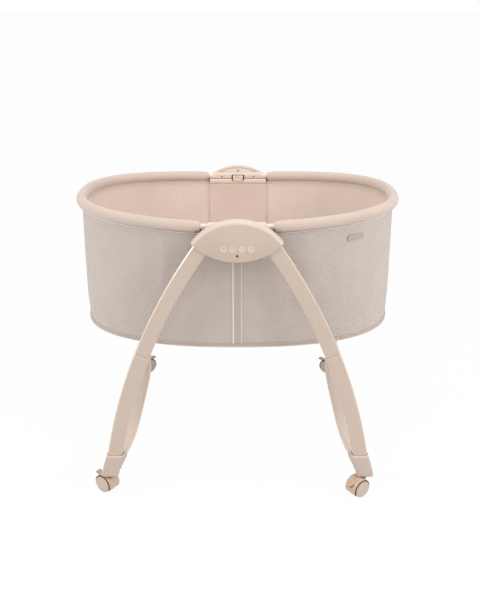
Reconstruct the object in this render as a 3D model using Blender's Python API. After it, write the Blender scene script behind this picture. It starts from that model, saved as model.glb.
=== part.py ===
import math

import bmesh
import bpy
from mathutils import Matrix, Vector

# Electric baby cradle: an oval fabric basket that swings between two lens shaped hubs
# on a four legged stand with casters.
# Frame: +Z up, the floor at Z 0, the long way of the basket along X, the front at -Y.
# The swing axis runs along Y above the origin.
# All lengths are in metres.

# Clearances and cutter overruns
gap = 0.0003
stem_clearance = 0.0005
running_gap = 0.002
overrun = 0.003

# Swing axis and its bearing
swing_z = 0.737
shaft_radius = 0.006
bearing_radius = 0.011
bearing_length = 0.0063
bearing_clearance = 0.0004
shaft_sides = 16

# Hub housing, a lens seen from the front
hub_half_width = 0.118
hub_low_half_width = 0.1125
hub_tip_top_z = 0.741
hub_tip_low_z = 0.7335
hub_top_z = 0.7985
hub_bottom_z = 0.690
hub_inner_y = 0.3005
hub_depth = 0.0325
hub_wall = 0.0025
hub_top_round = 0.0080
hub_low_round = 0.0020
hub_face_round = 0.0065
hub_edge_round = 0.0015
hub_back_recess = 0.0015
hub_back_thickness = 0.0045
hub_boss_radius = 0.0045
hub_boss_z = 0.7865
hub_boss_height = 0.0011
hub_arc_steps = 10
hub_round_shares = ((0.0, 0.0), (0.46, 0.12), (0.84, 0.46), (1.0, 1.0))

# Screw recesses
screw_radius = 0.0022
screw_depth = 0.0014
screw_sides = 10

# Control parts inside the front hub
board_half_width = 0.045
board_bottom_z = 0.703
board_top_z = 0.745
board_thickness = 0.0016
chip_half_width = 0.009
chip_offset_x = 0.026
chip_height = 0.0022
ir_radius = 0.0019
ir_z = 0.709
ir_proud = 0.0002
speaker_x = -0.045
speaker_z = 0.735
speaker_radius = 0.013
speaker_depth = 0.0055
magnet_radius = 0.008
magnet_depth = 0.006
jack_x = 0.035
jack_y = 0.3185
jack_radius = 0.004
jack_length = 0.013
jack_bore_radius = 0.0027
jack_bore_depth = 0.009
jack_sink = 0.0006

# Drive: a motor pinion turns a toothed sector on the front swing shaft
gear_module = 0.001
pinion_teeth = 14
sector_teeth = 70
sector_teeth_cut = 8
gear_width = 0.0045
gear_offset_y = 0.002
gear_backlash = 0.00025
gear_centre_slack = 0.0001
pinion_addendum_share = 0.9
sector_addendum_share = 0.7
gear_dedendum_share = 1.25
gear_pressure_angle = math.radians(20)
sector_hub_radius = 0.0095
motor_radius = 0.0092
motor_gap = 0.001
pinion_shaft_radius = 0.0015
pinion_shaft_length = 0.006
motor_bore_slack = 0.0003

# Legs: curved flat tubes, an arc seen from the front
leg_arc_x = -1.144
leg_arc_z = -0.148
leg_arc_radius = 1.515
leg_width = 0.042
leg_thickness = 0.020
leg_corner = 0.0055
leg_wall = 0.0016
leg_top_z = 0.735
leg_seam_z = 0.428
leg_end_z = 0.103
leg_hub_y = 0.3168
leg_foot_y = 0.358
leg_spigot_length = 0.040
leg_shoulder = 0.002
leg_steps = 5

# Foot sockets at the leg ends
foot_bottom_z = 0.0555
foot_top_z = 0.129
foot_width = 0.047
foot_thickness = 0.028
foot_corner = 0.006
foot_dip_depth = 0.0085
foot_dip_half_width = 0.0190
foot_splay = 0.0070
foot_splay_shares = (1.2, 0.5, 0.0)
foot_shift_shares = (1.0, 0.0, 0.0)
stem_shift = 0.0035
stem_bore_top_z = 0.0945

# Side bars between the front and rear feet, bowed inwards
bar_z = 0.092
bar_width = 0.040
bar_height = 0.018
bar_corner = 0.005
bar_wall = 0.0015
bar_mid_x = 0.327
bar_bow = 0.0265
bar_bow_y = 0.340
bar_bow_power = 4
bar_end_y = 0.330
bar_socket_wall = 0.0025
bar_socket_start_y = 0.304
bar_socket_end_y = 0.352
bar_arm_y = 0.338
bar_arm_rise = 0.0035
bar_arm_inset = 0.0012
bar_steps = 10

# Rim tube and its padded sleeve
rim_half_length = 0.449
rim_half_width = 0.285
rim_above_swing = 0.035
rim_rise = 0.016
rim_rise_power = 1.2
oval_power = 2.4
rim_tube_radius = 0.008
rim_tube_wall = 0.0012
rim_tube_sides = 8
rim_tube_start_x = 0.061
rim_tube_straight_x = 0.082
pad_radius = 0.0155
pad_end_radius = 0.0128
pad_end_round = 0.003
pad_start_x = 0.0965
pad_steps = 18

# Basket brackets, which hold the rim tubes and hang on the swing shafts
bracket_half_width = 0.076
bracket_inner_y = 0.2735
bracket_below_rim = 0.015
bracket_above_rim = 0.0105
bracket_corner = 0.004
bracket_end_round = 0.0015
bracket_lug_depth = 0.0115
bracket_lug_half_width = 0.045
bracket_lug_radius = 0.022
bracket_lug_overlap = 0.003
bracket_screw_x = 0.052
bracket_wing_half_width = 0.0925
bracket_wing_thickness = 0.0009
bracket_wing_above_rim = 0.0045
bracket_wing_below_rim = 0.0075
bracket_bore_sides = 12
shaft_lug_recess = 0.0005

# Cover strip under the bracket, which holds the fabric panel
strip_half_width = 0.0925
strip_inner_y = 0.2665
strip_below_rim = 0.020
strip_height = 0.014
strip_corner = 0.0025

# Release latch, a sprung tab in the bracket
latch_slot_half_width = 0.0205
latch_slot_depth = 0.0085
latch_slot_top_gap = 0.0016
latch_slot_floor_rise = 0.0045
latch_half_width = 0.0165
latch_inner_y = 0.2682
latch_thickness = 0.003
latch_top_drop = 0.0055
latch_barrel_radius = 0.0017
latch_recess_half_width = 0.010
latch_recess_rise = 0.005
latch_recess_height = 0.011
latch_recess_depth = 0.001

# Fabric basket
wall_half_length = 0.4570
wall_end_lean = 0.0080
wall_half_width = 0.2838
wall_bottom_z = 0.425
wall_thickness = 0.004
floor_fabric = 0.004
wall_points = 56
# height share of the wall, inward offset as a share of wall_draw
wall_draw = 0.0070
wall_row_shares = ((0.0, 1.30), (0.004, 0.98), (0.016, 0.80), (0.24, 0.22), (0.55, 0.0), (1.0, 0.04))
hem_bottom_z = 0.423
hem_top_z = 0.4345
hem_thickness = 0.0016
hem_row_shares = ((0.0, 0.35), (0.5, 1.0), (1.0, 0.35))

# Floor board and mattress
board_clearance = 0.0015
floor_board_thickness = 0.010
mattress_thickness = 0.040
mattress_clearance = 0.0012
# height share and inward offset as a share of mattress_edge
mattress_edge = 0.030
mattress_row_shares = ((0.0, 0.42), (0.08, 0.12), (0.34, 0.0), (0.68, 0.02), (0.90, 0.20), (1.0, 1.0))

# Smooth fabric panels on the inside of the long walls
panel_half_width = 0.094
panel_thickness = 0.0015
panel_clearance = 0.0009
panel_bottom_rise = 0.003
panel_top_reach = 0.0085
panel_points = 7
# height share and the share of panel_top_reach
panel_row_shares = ((0.0, 0.0), (0.42, 0.12), (0.80, 0.45), (1.0, 1.0))

# Placket strip down the front
placket_half_width = 0.0115
placket_thickness = 0.0015
placket_top_drop = 0.0082

# Casters: twin wheels under a hood, with a swivel stem and a brake pedal
wheel_radius = 0.025
wheel_sides = 20
wheel_outer = 0.0228
wheel_inner = 0.0135
wheel_face_round = 0.0025
axle_radius = 0.003
caster_trail = 0.020
hood_radius = 0.0285
hood_half_width = 0.0190
hood_web = 0.0130
hood_wall_gap = 0.0013
hood_floor = 0.0085
collar_radius = 0.008
collar_base_z = 0.034
stem_radius = 0.0055
stem_sides = 12
slot_half_width = 0.0073
slot_start_x = 0.0295
slot_floor_z = 0.0295
pedal_pivot_x = 0.036
pedal_pivot_z = 0.0355
pedal_hub_radius = 0.0033
pedal_half_width = 0.0069
pedal_toe_half_width = 0.0085
pedal_neck_x = 0.0440
pedal_toe_x = 0.0505
pedal_end_x = 0.0580
pedal_heel_x = 0.0303
pedal_heel_z = 0.0400
pedal_heel_top_z = 0.0500
pedal_root_z = 0.0345
pedal_root_top_z = 0.0476
pedal_neck_z = 0.0395
pedal_neck_top_z = 0.0440
pedal_toe_z = 0.0425
pedal_toe_top_z = 0.0460
pedal_end_z = 0.0435
pedal_end_top_z = 0.0463
# direction of each caster's trail from +X, in degrees
caster_turns = {"front_left": 145.0, "front_right": 215.0, "rear_left": 45.0, "rear_right": 150.0}

# Heights and places that follow from the sizes above
rim_z = swing_z + rim_above_swing
bracket_bottom_z = rim_z - bracket_below_rim
bracket_top_z = rim_z + bracket_above_rim
strip_bottom_z = rim_z - strip_below_rim
strip_top_z = strip_bottom_z + strip_height
latch_slot_floor_z = strip_bottom_z + latch_slot_floor_rise
latch_top_z = bracket_top_z - latch_top_drop
latch_recess_bottom_z = latch_slot_floor_z + latch_recess_rise
latch_recess_top_z = latch_recess_bottom_z + latch_recess_height
hub_outer_y = hub_inner_y + hub_depth
hub_back_y = hub_inner_y + hub_back_recess
hub_cavity_y = hub_back_y + hub_back_thickness
hub_face_inner_y = hub_outer_y - hub_wall
bracket_outer_y = hub_inner_y - running_gap
gear_y = hub_cavity_y + gear_offset_y
shaft_end_y = gear_y + gear_width + gap
pinion_pitch = gear_module * pinion_teeth / 2
sector_pitch = gear_module * sector_teeth / 2
pinion_z = swing_z + pinion_pitch + sector_pitch + gear_centre_slack
motor_y = gear_y + gear_width + motor_gap
floor_board_z = wall_bottom_z + floor_fabric + gap
mattress_z = floor_board_z + floor_board_thickness + gap
mattress_top_z = mattress_z + mattress_thickness
wall_top_z = rim_z - pad_radius - gap
placket_top_z = wall_top_z - placket_top_drop
panel_bottom_z = mattress_top_z + panel_bottom_rise
panel_top_z = strip_bottom_z - gap
axle_z = wheel_radius * math.cos(math.pi / wheel_sides)
latch_hinge_y = latch_inner_y + latch_thickness
latch_hinge_z = latch_slot_floor_z + gap + latch_barrel_radius
collar_top_z = foot_bottom_z - gap
stem_top_z = stem_bore_top_z - stem_clearance
sides = {"front": -1, "rear": 1}
hands = {"left": -1, "right": 1}

# Colours in sRGB, with roughness and metallic values
shell_plastic = ((216, 198, 184), 0.42, 0.0)
light_plastic = ((224, 208, 194), 0.40, 0.0)
leg_paint = ((208, 192, 178), 0.38, 0.25)
tube_paint = ((226, 209, 194), 0.35, 0.25)
pad_fabric = ((224, 205, 193), 0.85, 0.0)
mesh_fabric = ((205, 190, 182), 0.92, 0.0)
panel_fabric = ((216, 192, 178), 0.80, 0.0)
hem_fabric = ((216, 201, 191), 0.82, 0.0)
mattress_fabric = ((238, 232, 224), 0.90, 0.0)
board_wood = ((196, 168, 132), 0.70, 0.0)
hood_plastic = ((202, 180, 161), 0.45, 0.0)
wheel_plastic = ((204, 185, 170), 0.50, 0.0)
steel = ((176, 176, 178), 0.30, 1.0)
dark_plastic = ((46, 44, 44), 0.45, 0.0)
board_green = ((38, 92, 62), 0.55, 0.0)
gear_plastic = ((236, 232, 222), 0.50, 0.0)


def linear(value):
    share = value / 255
    if share <= 0.04045:
        return share / 12.92
    return ((share + 0.055) / 1.055) ** 2.4


def make_material(name, look):
    colour, roughness, metallic = look
    material = bpy.data.materials.new(name)
    material.use_nodes = True
    shader = material.node_tree.nodes["Principled BSDF"]
    rgba = (linear(colour[0]), linear(colour[1]), linear(colour[2]), 1.0)
    shader.inputs["Base Color"].default_value = rgba
    shader.inputs["Roughness"].default_value = roughness
    shader.inputs["Metallic"].default_value = metallic
    material.diffuse_color = rgba
    return material


def make_object(name, bm, look=None, sharp=35.0):
    bmesh.ops.recalc_face_normals(bm, faces=bm.faces[:])
    mesh = bpy.data.meshes.new(name)
    bm.to_mesh(mesh)
    bm.free()
    obj = bpy.data.objects.new(name, mesh)
    bpy.context.scene.collection.objects.link(obj)
    if look is not None:
        mesh.materials.append(make_material(name, look))
    shade(obj, sharp)
    return obj


def shade(obj, sharp=35.0):
    obj.data.shade_smooth()
    obj.data.set_sharp_from_angle(angle=math.radians(sharp))


def connect(bm, first, second):
    count = len(first)
    for index in range(count):
        after = (index + 1) % count
        bm.faces.new((first[index], first[after], second[after], second[index]))


def skin(bm, rings):
    loops = [[bm.verts.new(point) for point in ring] for ring in rings]
    for first, second in zip(loops, loops[1:]):
        connect(bm, first, second)
    return loops


def solid_loft(name, rings, look=None, sharp=35.0):
    bm = bmesh.new()
    loops = skin(bm, rings)
    bm.faces.new(loops[0])
    bm.faces.new(loops[-1])
    return make_object(name, bm, look, sharp)


def tube_loft(name, outer, inner, look=None, sharp=35.0):
    bm = bmesh.new()
    outer_loops = skin(bm, outer)
    inner_loops = skin(bm, inner)
    connect(bm, outer_loops[0], inner_loops[0])
    connect(bm, outer_loops[-1], inner_loops[-1])
    return make_object(name, bm, look, sharp)


def cup_loft(name, outer, inner, look=None, sharp=35.0):
    # open where both first rings are, closed at the last ring of each skin
    bm = bmesh.new()
    outer_loops = skin(bm, outer)
    inner_loops = skin(bm, inner)
    connect(bm, outer_loops[0], inner_loops[0])
    bm.faces.new(outer_loops[-1])
    bm.faces.new(inner_loops[-1])
    return make_object(name, bm, look, sharp)


def loop_loft(name, sections, look=None, sharp=35.0):
    # sections stand round a closed loop
    bm = bmesh.new()
    loops = skin(bm, sections)
    connect(bm, loops[-1], loops[0])
    return make_object(name, bm, look, sharp)


def combine(target, tool, operation):
    modifier = target.modifiers.new("combine", "BOOLEAN")
    modifier.operation = operation
    modifier.solver = "EXACT"
    modifier.object = tool
    depsgraph = bpy.context.evaluated_depsgraph_get()
    result = bpy.data.meshes.new_from_object(target.evaluated_get(depsgraph))
    target.modifiers.clear()
    old = target.data
    target.data = result
    bpy.data.meshes.remove(old)
    bpy.data.objects.remove(tool)
    shade(target)
    return target


def cut(target, tool):
    return combine(target, tool, "DIFFERENCE")


def join(target, tool):
    return combine(target, tool, "UNION")


def set_origin(obj, point):
    place = Vector(point)
    obj.data.transform(Matrix.Translation(-place))
    obj.location = place
    return obj


def rounded_rect(width, height, radius, corner_points=3):
    points = []
    for quarter in range(4):
        sign_u = 1 if quarter in (0, 3) else -1
        sign_v = 1 if quarter in (0, 1) else -1
        for step in range(corner_points):
            angle = math.pi / 2 * (quarter + step / (corner_points - 1))
            points.append((sign_u * (width / 2 - radius) + radius * math.cos(angle),
                           sign_v * (height / 2 - radius) + radius * math.sin(angle)))
    return points


def circle(radius, count, start=0.0):
    return [(radius * math.cos(start + 2 * math.pi * index / count),
             radius * math.sin(start + 2 * math.pi * index / count)) for index in range(count)]


def place_ring(section, centre, u_axis, v_axis):
    return [centre + u_axis * u + v_axis * v for u, v in section]


def bore(radius, count, clearance=gap):
    # radius of a polygon hole that clears a round piece of the given radius
    return (radius + clearance) / math.cos(math.pi / count)


axis_x = Vector((1, 0, 0))
axis_y = Vector((0, 1, 0))
axis_z = Vector((0, 0, 1))


def rod(name, start, direction, length, radius, count, look=None):
    # a round bar from a point along a main axis
    along = Vector(direction)
    u_axis = axis_z if abs(along.z) < 0.5 else axis_x
    v_axis = along.cross(u_axis)
    ring = circle(radius, count, math.pi / count)
    begin = Vector(start)
    return solid_loft(name, [place_ring(ring, begin, u_axis, v_axis),
                             place_ring(ring, begin + along * length, u_axis, v_axis)], look)


def block(name, low, high, look=None):
    corners = [(low[0], low[1]), (high[0], low[1]), (high[0], high[1]), (low[0], high[1])]
    return solid_loft(name, [[Vector((x, y, low[2])) for x, y in corners],
                             [Vector((x, y, high[2])) for x, y in corners]], look)


def y_block(name, side, x_low, x_high, y_near, y_far, z_low, z_high, look=None):
    # a block whose distance from the middle plane is given for the front or the rear side
    y_values = sorted((side * y_near, side * y_far))
    return block(name, (x_low, y_values[0], z_low), (x_high, y_values[1], z_high), look)


def prism(name, outline, side, y_near, y_far, look=None):
    # an outline in X and Z drawn out along Y
    return solid_loft(name, [[Vector((x, side * y_near, z)) for x, z in outline],
                             [Vector((x, side * y_far, z)) for x, z in outline]], look)


def inset(points, distances):
    # a convex outline, counterclockwise, with each edge moved inwards by its own distance
    count = len(points)
    result = []
    for index in range(count):
        before = Vector(points[index]) - Vector(points[index - 1])
        after = Vector(points[(index + 1) % count]) - Vector(points[index])
        normal_a = Vector((-before.y, before.x)).normalized()
        normal_b = Vector((-after.y, after.x)).normalized()
        distance_a = distances[index - 1]
        distance_b = distances[index]
        cross = normal_a.x * normal_b.y - normal_a.y * normal_b.x
        move_x = (distance_a * normal_b.y - distance_b * normal_a.y) / cross
        move_z = (distance_b * normal_a.x - distance_a * normal_b.x) / cross
        result.append((points[index][0] + move_x, points[index][1] + move_z))
    return result


def arc_points(half_width, end_z, middle_z, steps, rightwards):
    # an arc from one end to the other through its middle point
    rise = middle_z - end_z
    radius = (half_width ** 2 + rise ** 2) / (2 * abs(rise))
    centre_z = middle_z - math.copysign(radius, rise)
    reach = math.asin(half_width / radius)
    points = []
    for step in range(steps + 1):
        turn = reach * (2 * step / steps - 1)
        x = radius * math.sin(turn)
        z = centre_z + math.copysign(radius * math.cos(turn), rise)
        points.append((x if rightwards else -x, z))
    return points


def hub_outline():
    low = arc_points(hub_low_half_width, hub_tip_low_z, hub_bottom_z, hub_arc_steps, True)
    top = arc_points(hub_half_width, hub_tip_top_z, hub_top_z, hub_arc_steps, False)
    return low + top


def hub_insets(low_distance, top_distance):
    # the lower arc and both blunt tips take the lower distance
    return [low_distance] * (hub_arc_steps + 1) + [top_distance] * hub_arc_steps + [low_distance]


def leg_angle(z):
    return math.asin((z - leg_arc_z) / leg_arc_radius)


def leg_x(z):
    return leg_arc_x + leg_arc_radius * math.cos(leg_angle(z))


def leg_y(z):
    share = (swing_z - z) / (swing_z - foot_bottom_z)
    return leg_hub_y + (leg_foot_y - leg_hub_y) * share


def leg_ring(angle, section, hand, side):
    z = leg_arc_z + leg_arc_radius * math.sin(angle)
    centre = Vector((leg_arc_x + leg_arc_radius * math.cos(angle), leg_y(z), z))
    lean = (leg_foot_y - leg_hub_y) / (swing_z - foot_bottom_z)
    outward = Vector((math.cos(angle), 0, math.sin(angle)))
    along = Vector((-math.sin(angle), -lean * math.cos(angle), math.cos(angle))).normalized()
    across = along.cross(outward).normalized()
    outward = across.cross(along).normalized()
    ring = place_ring(section, centre, outward, across)
    return [Vector((hand * point.x, side * point.y, point.z)) for point in ring]


def leg_section(shrink):
    return rounded_rect(leg_width - 2 * shrink, leg_thickness - 2 * shrink, leg_corner - shrink)


def angles_between(start, end, steps):
    return [start + (end - start) * step / steps for step in range(steps + 1)]


def make_upper_leg(name, hand, side):
    seam = leg_angle(leg_seam_z)
    spigot_top = seam + leg_spigot_length / leg_arc_radius
    angles = angles_between(leg_angle(leg_top_z), spigot_top, leg_steps - 1) + [seam]
    outer = [leg_ring(angle, leg_section(0), hand, side) for angle in angles]
    inner = [leg_ring(angle, leg_section(leg_wall), hand, side) for angle in angles]
    return tube_loft(name, outer, inner, leg_paint)


def make_lower_leg(name, hand, side):
    seam = leg_angle(leg_seam_z) - gap / leg_arc_radius
    spigot_top = seam + leg_spigot_length / leg_arc_radius
    shoulder = seam - leg_shoulder / leg_arc_radius
    main = angles_between(seam, leg_angle(leg_end_z), leg_steps)
    spigot = leg_section(leg_wall + gap)
    spigot_bore = leg_section(2 * leg_wall + gap)
    outer = [leg_ring(spigot_top, spigot, hand, side), leg_ring(seam, spigot, hand, side)]
    outer += [leg_ring(angle, leg_section(0), hand, side) for angle in main]
    inner = [leg_ring(spigot_top, spigot_bore, hand, side), leg_ring(shoulder, spigot_bore, hand, side)]
    inner += [leg_ring(angle, leg_section(leg_wall), hand, side) for angle in [shoulder] + main[1:]]
    return tube_loft(name, outer, inner, leg_paint)


def leg_cutter(name, low_z, high_z, hand, side):
    # the room of a leg with its clearance, between two heights
    angles = angles_between(leg_angle(high_z), leg_angle(low_z), 2)
    return solid_loft(name, [leg_ring(angle, leg_section(-gap), hand, side) for angle in angles])


def make_hub_cover(name, side):
    outline = hub_outline()
    wall_outline = inset(outline, hub_insets(hub_wall, hub_wall))

    def ring(points, y):
        return [Vector((x, side * y, z)) for x, z in points]

    outer = [ring(inset(outline, hub_insets(hub_edge_round, hub_edge_round)), hub_inner_y),
             ring(outline, hub_inner_y + hub_edge_round)]
    for depth_share, inset_share in hub_round_shares:
        distances = hub_insets(hub_low_round * inset_share, hub_top_round * inset_share)
        y = hub_outer_y - hub_face_round * (1 - depth_share)
        outer.append(ring(inset(outline, distances) if inset_share > 0 else outline, y))
    inner = [ring(wall_outline, hub_inner_y), ring(wall_outline, hub_outer_y - hub_face_round)]
    low_distance = hub_wall + hub_low_round
    top_distance = hub_wall + hub_top_round / 2
    inner.append(ring(inset(outline, hub_insets(low_distance, top_distance)), hub_face_inner_y))
    cover = cup_loft(name, outer, inner, shell_plastic)
    for hand in hands.values():
        cut(cover, leg_cutter("leg_window", hub_bottom_z, leg_top_z + gap, hand, side))
    return cover


def make_hub_back(name, side):
    outline = inset(hub_outline(), hub_insets(hub_wall + gap, hub_wall + gap))
    panel = prism(name, outline, side, hub_back_y, hub_cavity_y, light_plastic)
    boss_y = hub_back_y - hub_boss_height
    boss = rod("boss", (0, side * boss_y, hub_boss_z), (0, side, 0), hub_boss_height + hub_back_thickness / 2,
               hub_boss_radius, shaft_sides)
    join(panel, boss)
    cut(panel, rod("screw", (0, side * (boss_y - overrun), hub_boss_z), (0, side, 0), overrun + screw_depth,
                   screw_radius, screw_sides))
    hole = bore(bearing_radius, shaft_sides)
    cut(panel, rod("hole", (0, side * (hub_back_y - overrun), swing_z), (0, side, 0),
                   hub_back_thickness + 2 * overrun, hole, shaft_sides))
    return panel


def make_bearing(name, side):
    start = hub_cavity_y - hub_back_thickness
    outer_ring = circle(bearing_radius, shaft_sides, math.pi / shaft_sides)
    inner_ring = circle(bore(shaft_radius, shaft_sides, bearing_clearance), shaft_sides, math.pi / shaft_sides)
    outer = []
    inner = []
    for y in (start, start + bearing_length):
        centre = Vector((0, side * y, swing_z))
        outer.append(place_ring(outer_ring, centre, axis_x, axis_z))
        inner.append(place_ring(inner_ring, centre, axis_x, axis_z))
    return tube_loft(name, outer, inner, steel)


def make_swing_shaft(name, side):
    start = bracket_outer_y - bracket_lug_depth + shaft_lug_recess
    return rod(name, (0, side * start, swing_z), (0, side, 0), shaft_end_y - start,
               shaft_radius, shaft_sides, steel)


def oval_point(half_length, half_width, angle):
    power = 2 / oval_power
    c = math.cos(angle)
    s = math.sin(angle)
    return (math.copysign(abs(c) ** power, c) * half_length,
            math.copysign(abs(s) ** power, s) * half_width)


def oval_y(half_length, half_width, x):
    return half_width * (1 - abs(x / half_length) ** oval_power) ** (1 / oval_power)


def rim_height(x):
    reach = max(abs(x) - pad_start_x, 0) / (rim_half_length - pad_start_x)
    return rim_z + rim_rise * reach ** rim_rise_power


def pad_path(hand):
    # points along the rim from the front gap round the end to the rear gap
    last = math.acos((pad_start_x / rim_half_length) ** (oval_power / 2))
    path = []
    for step in range(pad_steps + 1):
        angle = last * (2 * step / pad_steps - 1)
        x, y = oval_point(rim_half_length, rim_half_width, angle)
        path.append(Vector((hand * x, y, rim_height(x))))
    return path


def rim_end_y():
    return oval_y(rim_half_length, rim_half_width, rim_tube_straight_x)


def sweep(path, section_at):
    rings = []
    for index, point in enumerate(path):
        before = path[max(index - 1, 0)]
        after = path[min(index + 1, len(path) - 1)]
        along = (after - before).normalized()
        across = along.cross(axis_z).normalized()
        upward = across.cross(along).normalized()
        rings.append(place_ring(section_at(index), point, across, upward))
    return rings


def make_rim_tube(name, hand):
    end_y = rim_end_y()
    path = [Vector((hand * rim_tube_start_x, -end_y, rim_z)), Vector((hand * rim_tube_straight_x, -end_y, rim_z))]
    path += pad_path(hand)
    path += [Vector((hand * rim_tube_straight_x, end_y, rim_z)), Vector((hand * rim_tube_start_x, end_y, rim_z))]
    turn = math.pi / rim_tube_sides
    outer = circle(rim_tube_radius, rim_tube_sides, turn)
    inner = circle(rim_tube_radius - rim_tube_wall, rim_tube_sides, turn)
    return tube_loft(name, sweep(path, lambda index: outer), sweep(path, lambda index: inner), tube_paint)


def make_rim_pad(name, hand):
    path = pad_path(hand)
    first = path[0] + (path[1] - path[0]).normalized() * pad_end_round
    last = path[-1] + (path[-2] - path[-1]).normalized() * pad_end_round
    path = [path[0], first] + path[1:-1] + [last, path[-1]]
    turn = math.pi / rim_tube_sides
    full = circle(pad_radius, rim_tube_sides, turn)
    end = circle(pad_end_radius, rim_tube_sides, turn)
    hollow = circle(rim_tube_radius + gap, rim_tube_sides, turn)

    def outer_section(index):
        return end if index in (0, len(path) - 1) else full

    return tube_loft(name, sweep(path, outer_section), sweep(path, lambda index: hollow), pad_fabric, 60.0)


def make_bracket(name, side):
    depth = bracket_outer_y - bracket_inner_y
    height = bracket_top_z - bracket_bottom_z
    middle = Vector((0, side * (bracket_inner_y + depth / 2), bracket_bottom_z + height / 2))
    full = rounded_rect(depth, height, bracket_corner)
    small = rounded_rect(depth - 2 * bracket_end_round, height - 2 * bracket_end_round,
                         bracket_corner - bracket_end_round)
    rings = []
    for x, section in ((-bracket_half_width, small), (bracket_end_round - bracket_half_width, full),
                       (bracket_half_width - bracket_end_round, full), (bracket_half_width, small)):
        rings.append(place_ring(section, middle + axis_x * x, axis_y, axis_z))
    bracket = solid_loft(name, rings, light_plastic)
    lug = [(bracket_lug_half_width, bracket_bottom_z + bracket_lug_overlap)]
    lug.append((-bracket_lug_half_width, bracket_bottom_z + bracket_lug_overlap))
    for step in range(9):
        angle = math.radians(190 + 20 * step)
        lug.append((bracket_lug_radius * math.cos(angle), swing_z + bracket_lug_radius * math.sin(angle)))
    lug_y = bracket_outer_y - bracket_lug_depth
    join(bracket, prism("lug", lug, side, lug_y, bracket_outer_y))
    # thin wings that carry the inner face on, in front of the bare tubes
    join(bracket, y_block("wings", side, -bracket_wing_half_width, bracket_wing_half_width,
                          bracket_inner_y, bracket_inner_y + bracket_wing_thickness,
                          rim_z - bracket_wing_below_rim, rim_z + bracket_wing_above_rim))
    hole = bore(shaft_radius, shaft_sides)
    cut(bracket, rod("shaft_hole", (0, side * (lug_y - overrun), swing_z), (0, side, 0),
                     bracket_lug_depth + 2 * overrun, hole, shaft_sides))
    tube_hole = bore(rim_tube_radius, bracket_bore_sides)
    bore_start = rim_tube_start_x - gap
    bore_length = bracket_half_width - bore_start + overrun
    for hand in hands.values():
        start = (hand * bore_start, side * rim_end_y(), rim_z)
        cut(bracket, rod("tube_hole", start, (hand, 0, 0), bore_length, tube_hole, bracket_bore_sides))
        screw = (hand * bracket_screw_x, side * (bracket_inner_y - overrun), rim_z)
        cut(bracket, rod("screw", screw, (0, side, 0), overrun + screw_depth, screw_radius, screw_sides))
    cut(bracket, y_block("slot", side, -latch_slot_half_width, latch_slot_half_width,
                         bracket_inner_y - overrun, bracket_inner_y + latch_slot_depth,
                         bracket_bottom_z - overrun, latch_top_z + latch_slot_top_gap))
    return bracket


def make_bracket_cover(name, side):
    depth = bracket_inner_y - gap - strip_inner_y
    height = strip_top_z - strip_bottom_z
    middle = Vector((0, side * (strip_inner_y + depth / 2), strip_bottom_z + height / 2))
    full = rounded_rect(depth, height, strip_corner)
    small = rounded_rect(depth - 2 * bracket_end_round, height - 2 * bracket_end_round,
                         strip_corner - bracket_end_round)
    rings = []
    for x, section in ((-strip_half_width, small), (bracket_end_round - strip_half_width, full),
                       (strip_half_width - bracket_end_round, full), (strip_half_width, small)):
        rings.append(place_ring(section, middle + axis_x * x, axis_y, axis_z))
    strip = solid_loft(name, rings, light_plastic)
    cut(strip, y_block("notch", side, -latch_slot_half_width, latch_slot_half_width,
                       strip_inner_y - overrun, bracket_inner_y + overrun,
                       latch_slot_floor_z, strip_top_z + overrun))
    return strip


def make_latch(name, side):
    tab = y_block(name, side, -latch_half_width, latch_half_width, latch_inner_y,
                  latch_inner_y + latch_thickness, latch_hinge_z, latch_top_z, light_plastic)
    barrel_half = latch_slot_half_width - gap
    join(tab, rod("barrel", (-barrel_half, side * latch_hinge_y, latch_hinge_z), (1, 0, 0), 2 * barrel_half,
                  latch_barrel_radius, screw_sides))
    cut(tab, y_block("recess", side, -latch_recess_half_width, latch_recess_half_width,
                     latch_inner_y - overrun, latch_inner_y + latch_recess_depth,
                     latch_recess_bottom_z, latch_recess_top_z))
    return set_origin(tab, (0, side * latch_hinge_y, latch_hinge_z))


def gear_points(teeth, addendum_share, centres):
    # teeth drawn counterclockwise about the origin at the given angles
    pitch = gear_module * teeth / 2
    base = pitch * math.cos(gear_pressure_angle)
    tip = pitch + gear_module * addendum_share
    root = pitch - gear_module * gear_dedendum_share
    half_pitch = math.pi / (2 * teeth) - gear_backlash / (2 * pitch)

    def involute(angle):
        return math.tan(angle) - angle

    def half_angle(radius):
        pressure = math.acos(min(base / radius, 1.0))
        return half_pitch + involute(gear_pressure_angle) - involute(pressure)

    low = max(base, root)
    radii = [low, pitch, tip]
    points = []
    for centre in centres:
        flank = [(root, half_angle(low))] if root < low else []
        flank += [(radius, half_angle(radius)) for radius in radii]
        for radius, half in flank:
            points.append((radius * math.cos(centre - half), radius * math.sin(centre - half)))
        for radius, half in reversed(flank):
            points.append((radius * math.cos(centre + half), radius * math.sin(centre + half)))
    return points


def make_sector(name, side):
    step = 2 * math.pi / sector_teeth
    first = math.pi / 2 - step * (sector_teeth_cut - 1) / 2
    centres = [first + step * index for index in range(sector_teeth_cut)]
    outline = gear_points(sector_teeth, sector_addendum_share, centres)
    for index in range(9):
        angle = math.radians(140 + 260 * index / 8)
        outline.append((sector_hub_radius * math.cos(angle), sector_hub_radius * math.sin(angle)))
    outline = [(x, z + swing_z) for x, z in outline]
    sector = prism(name, outline, side, gear_y, gear_y + gear_width, gear_plastic)
    hole = bore(shaft_radius, shaft_sides)
    return cut(sector, rod("hole", (0, side * (gear_y - overrun), swing_z), (0, side, 0),
                           gear_width + 2 * overrun, hole, shaft_sides))


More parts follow.
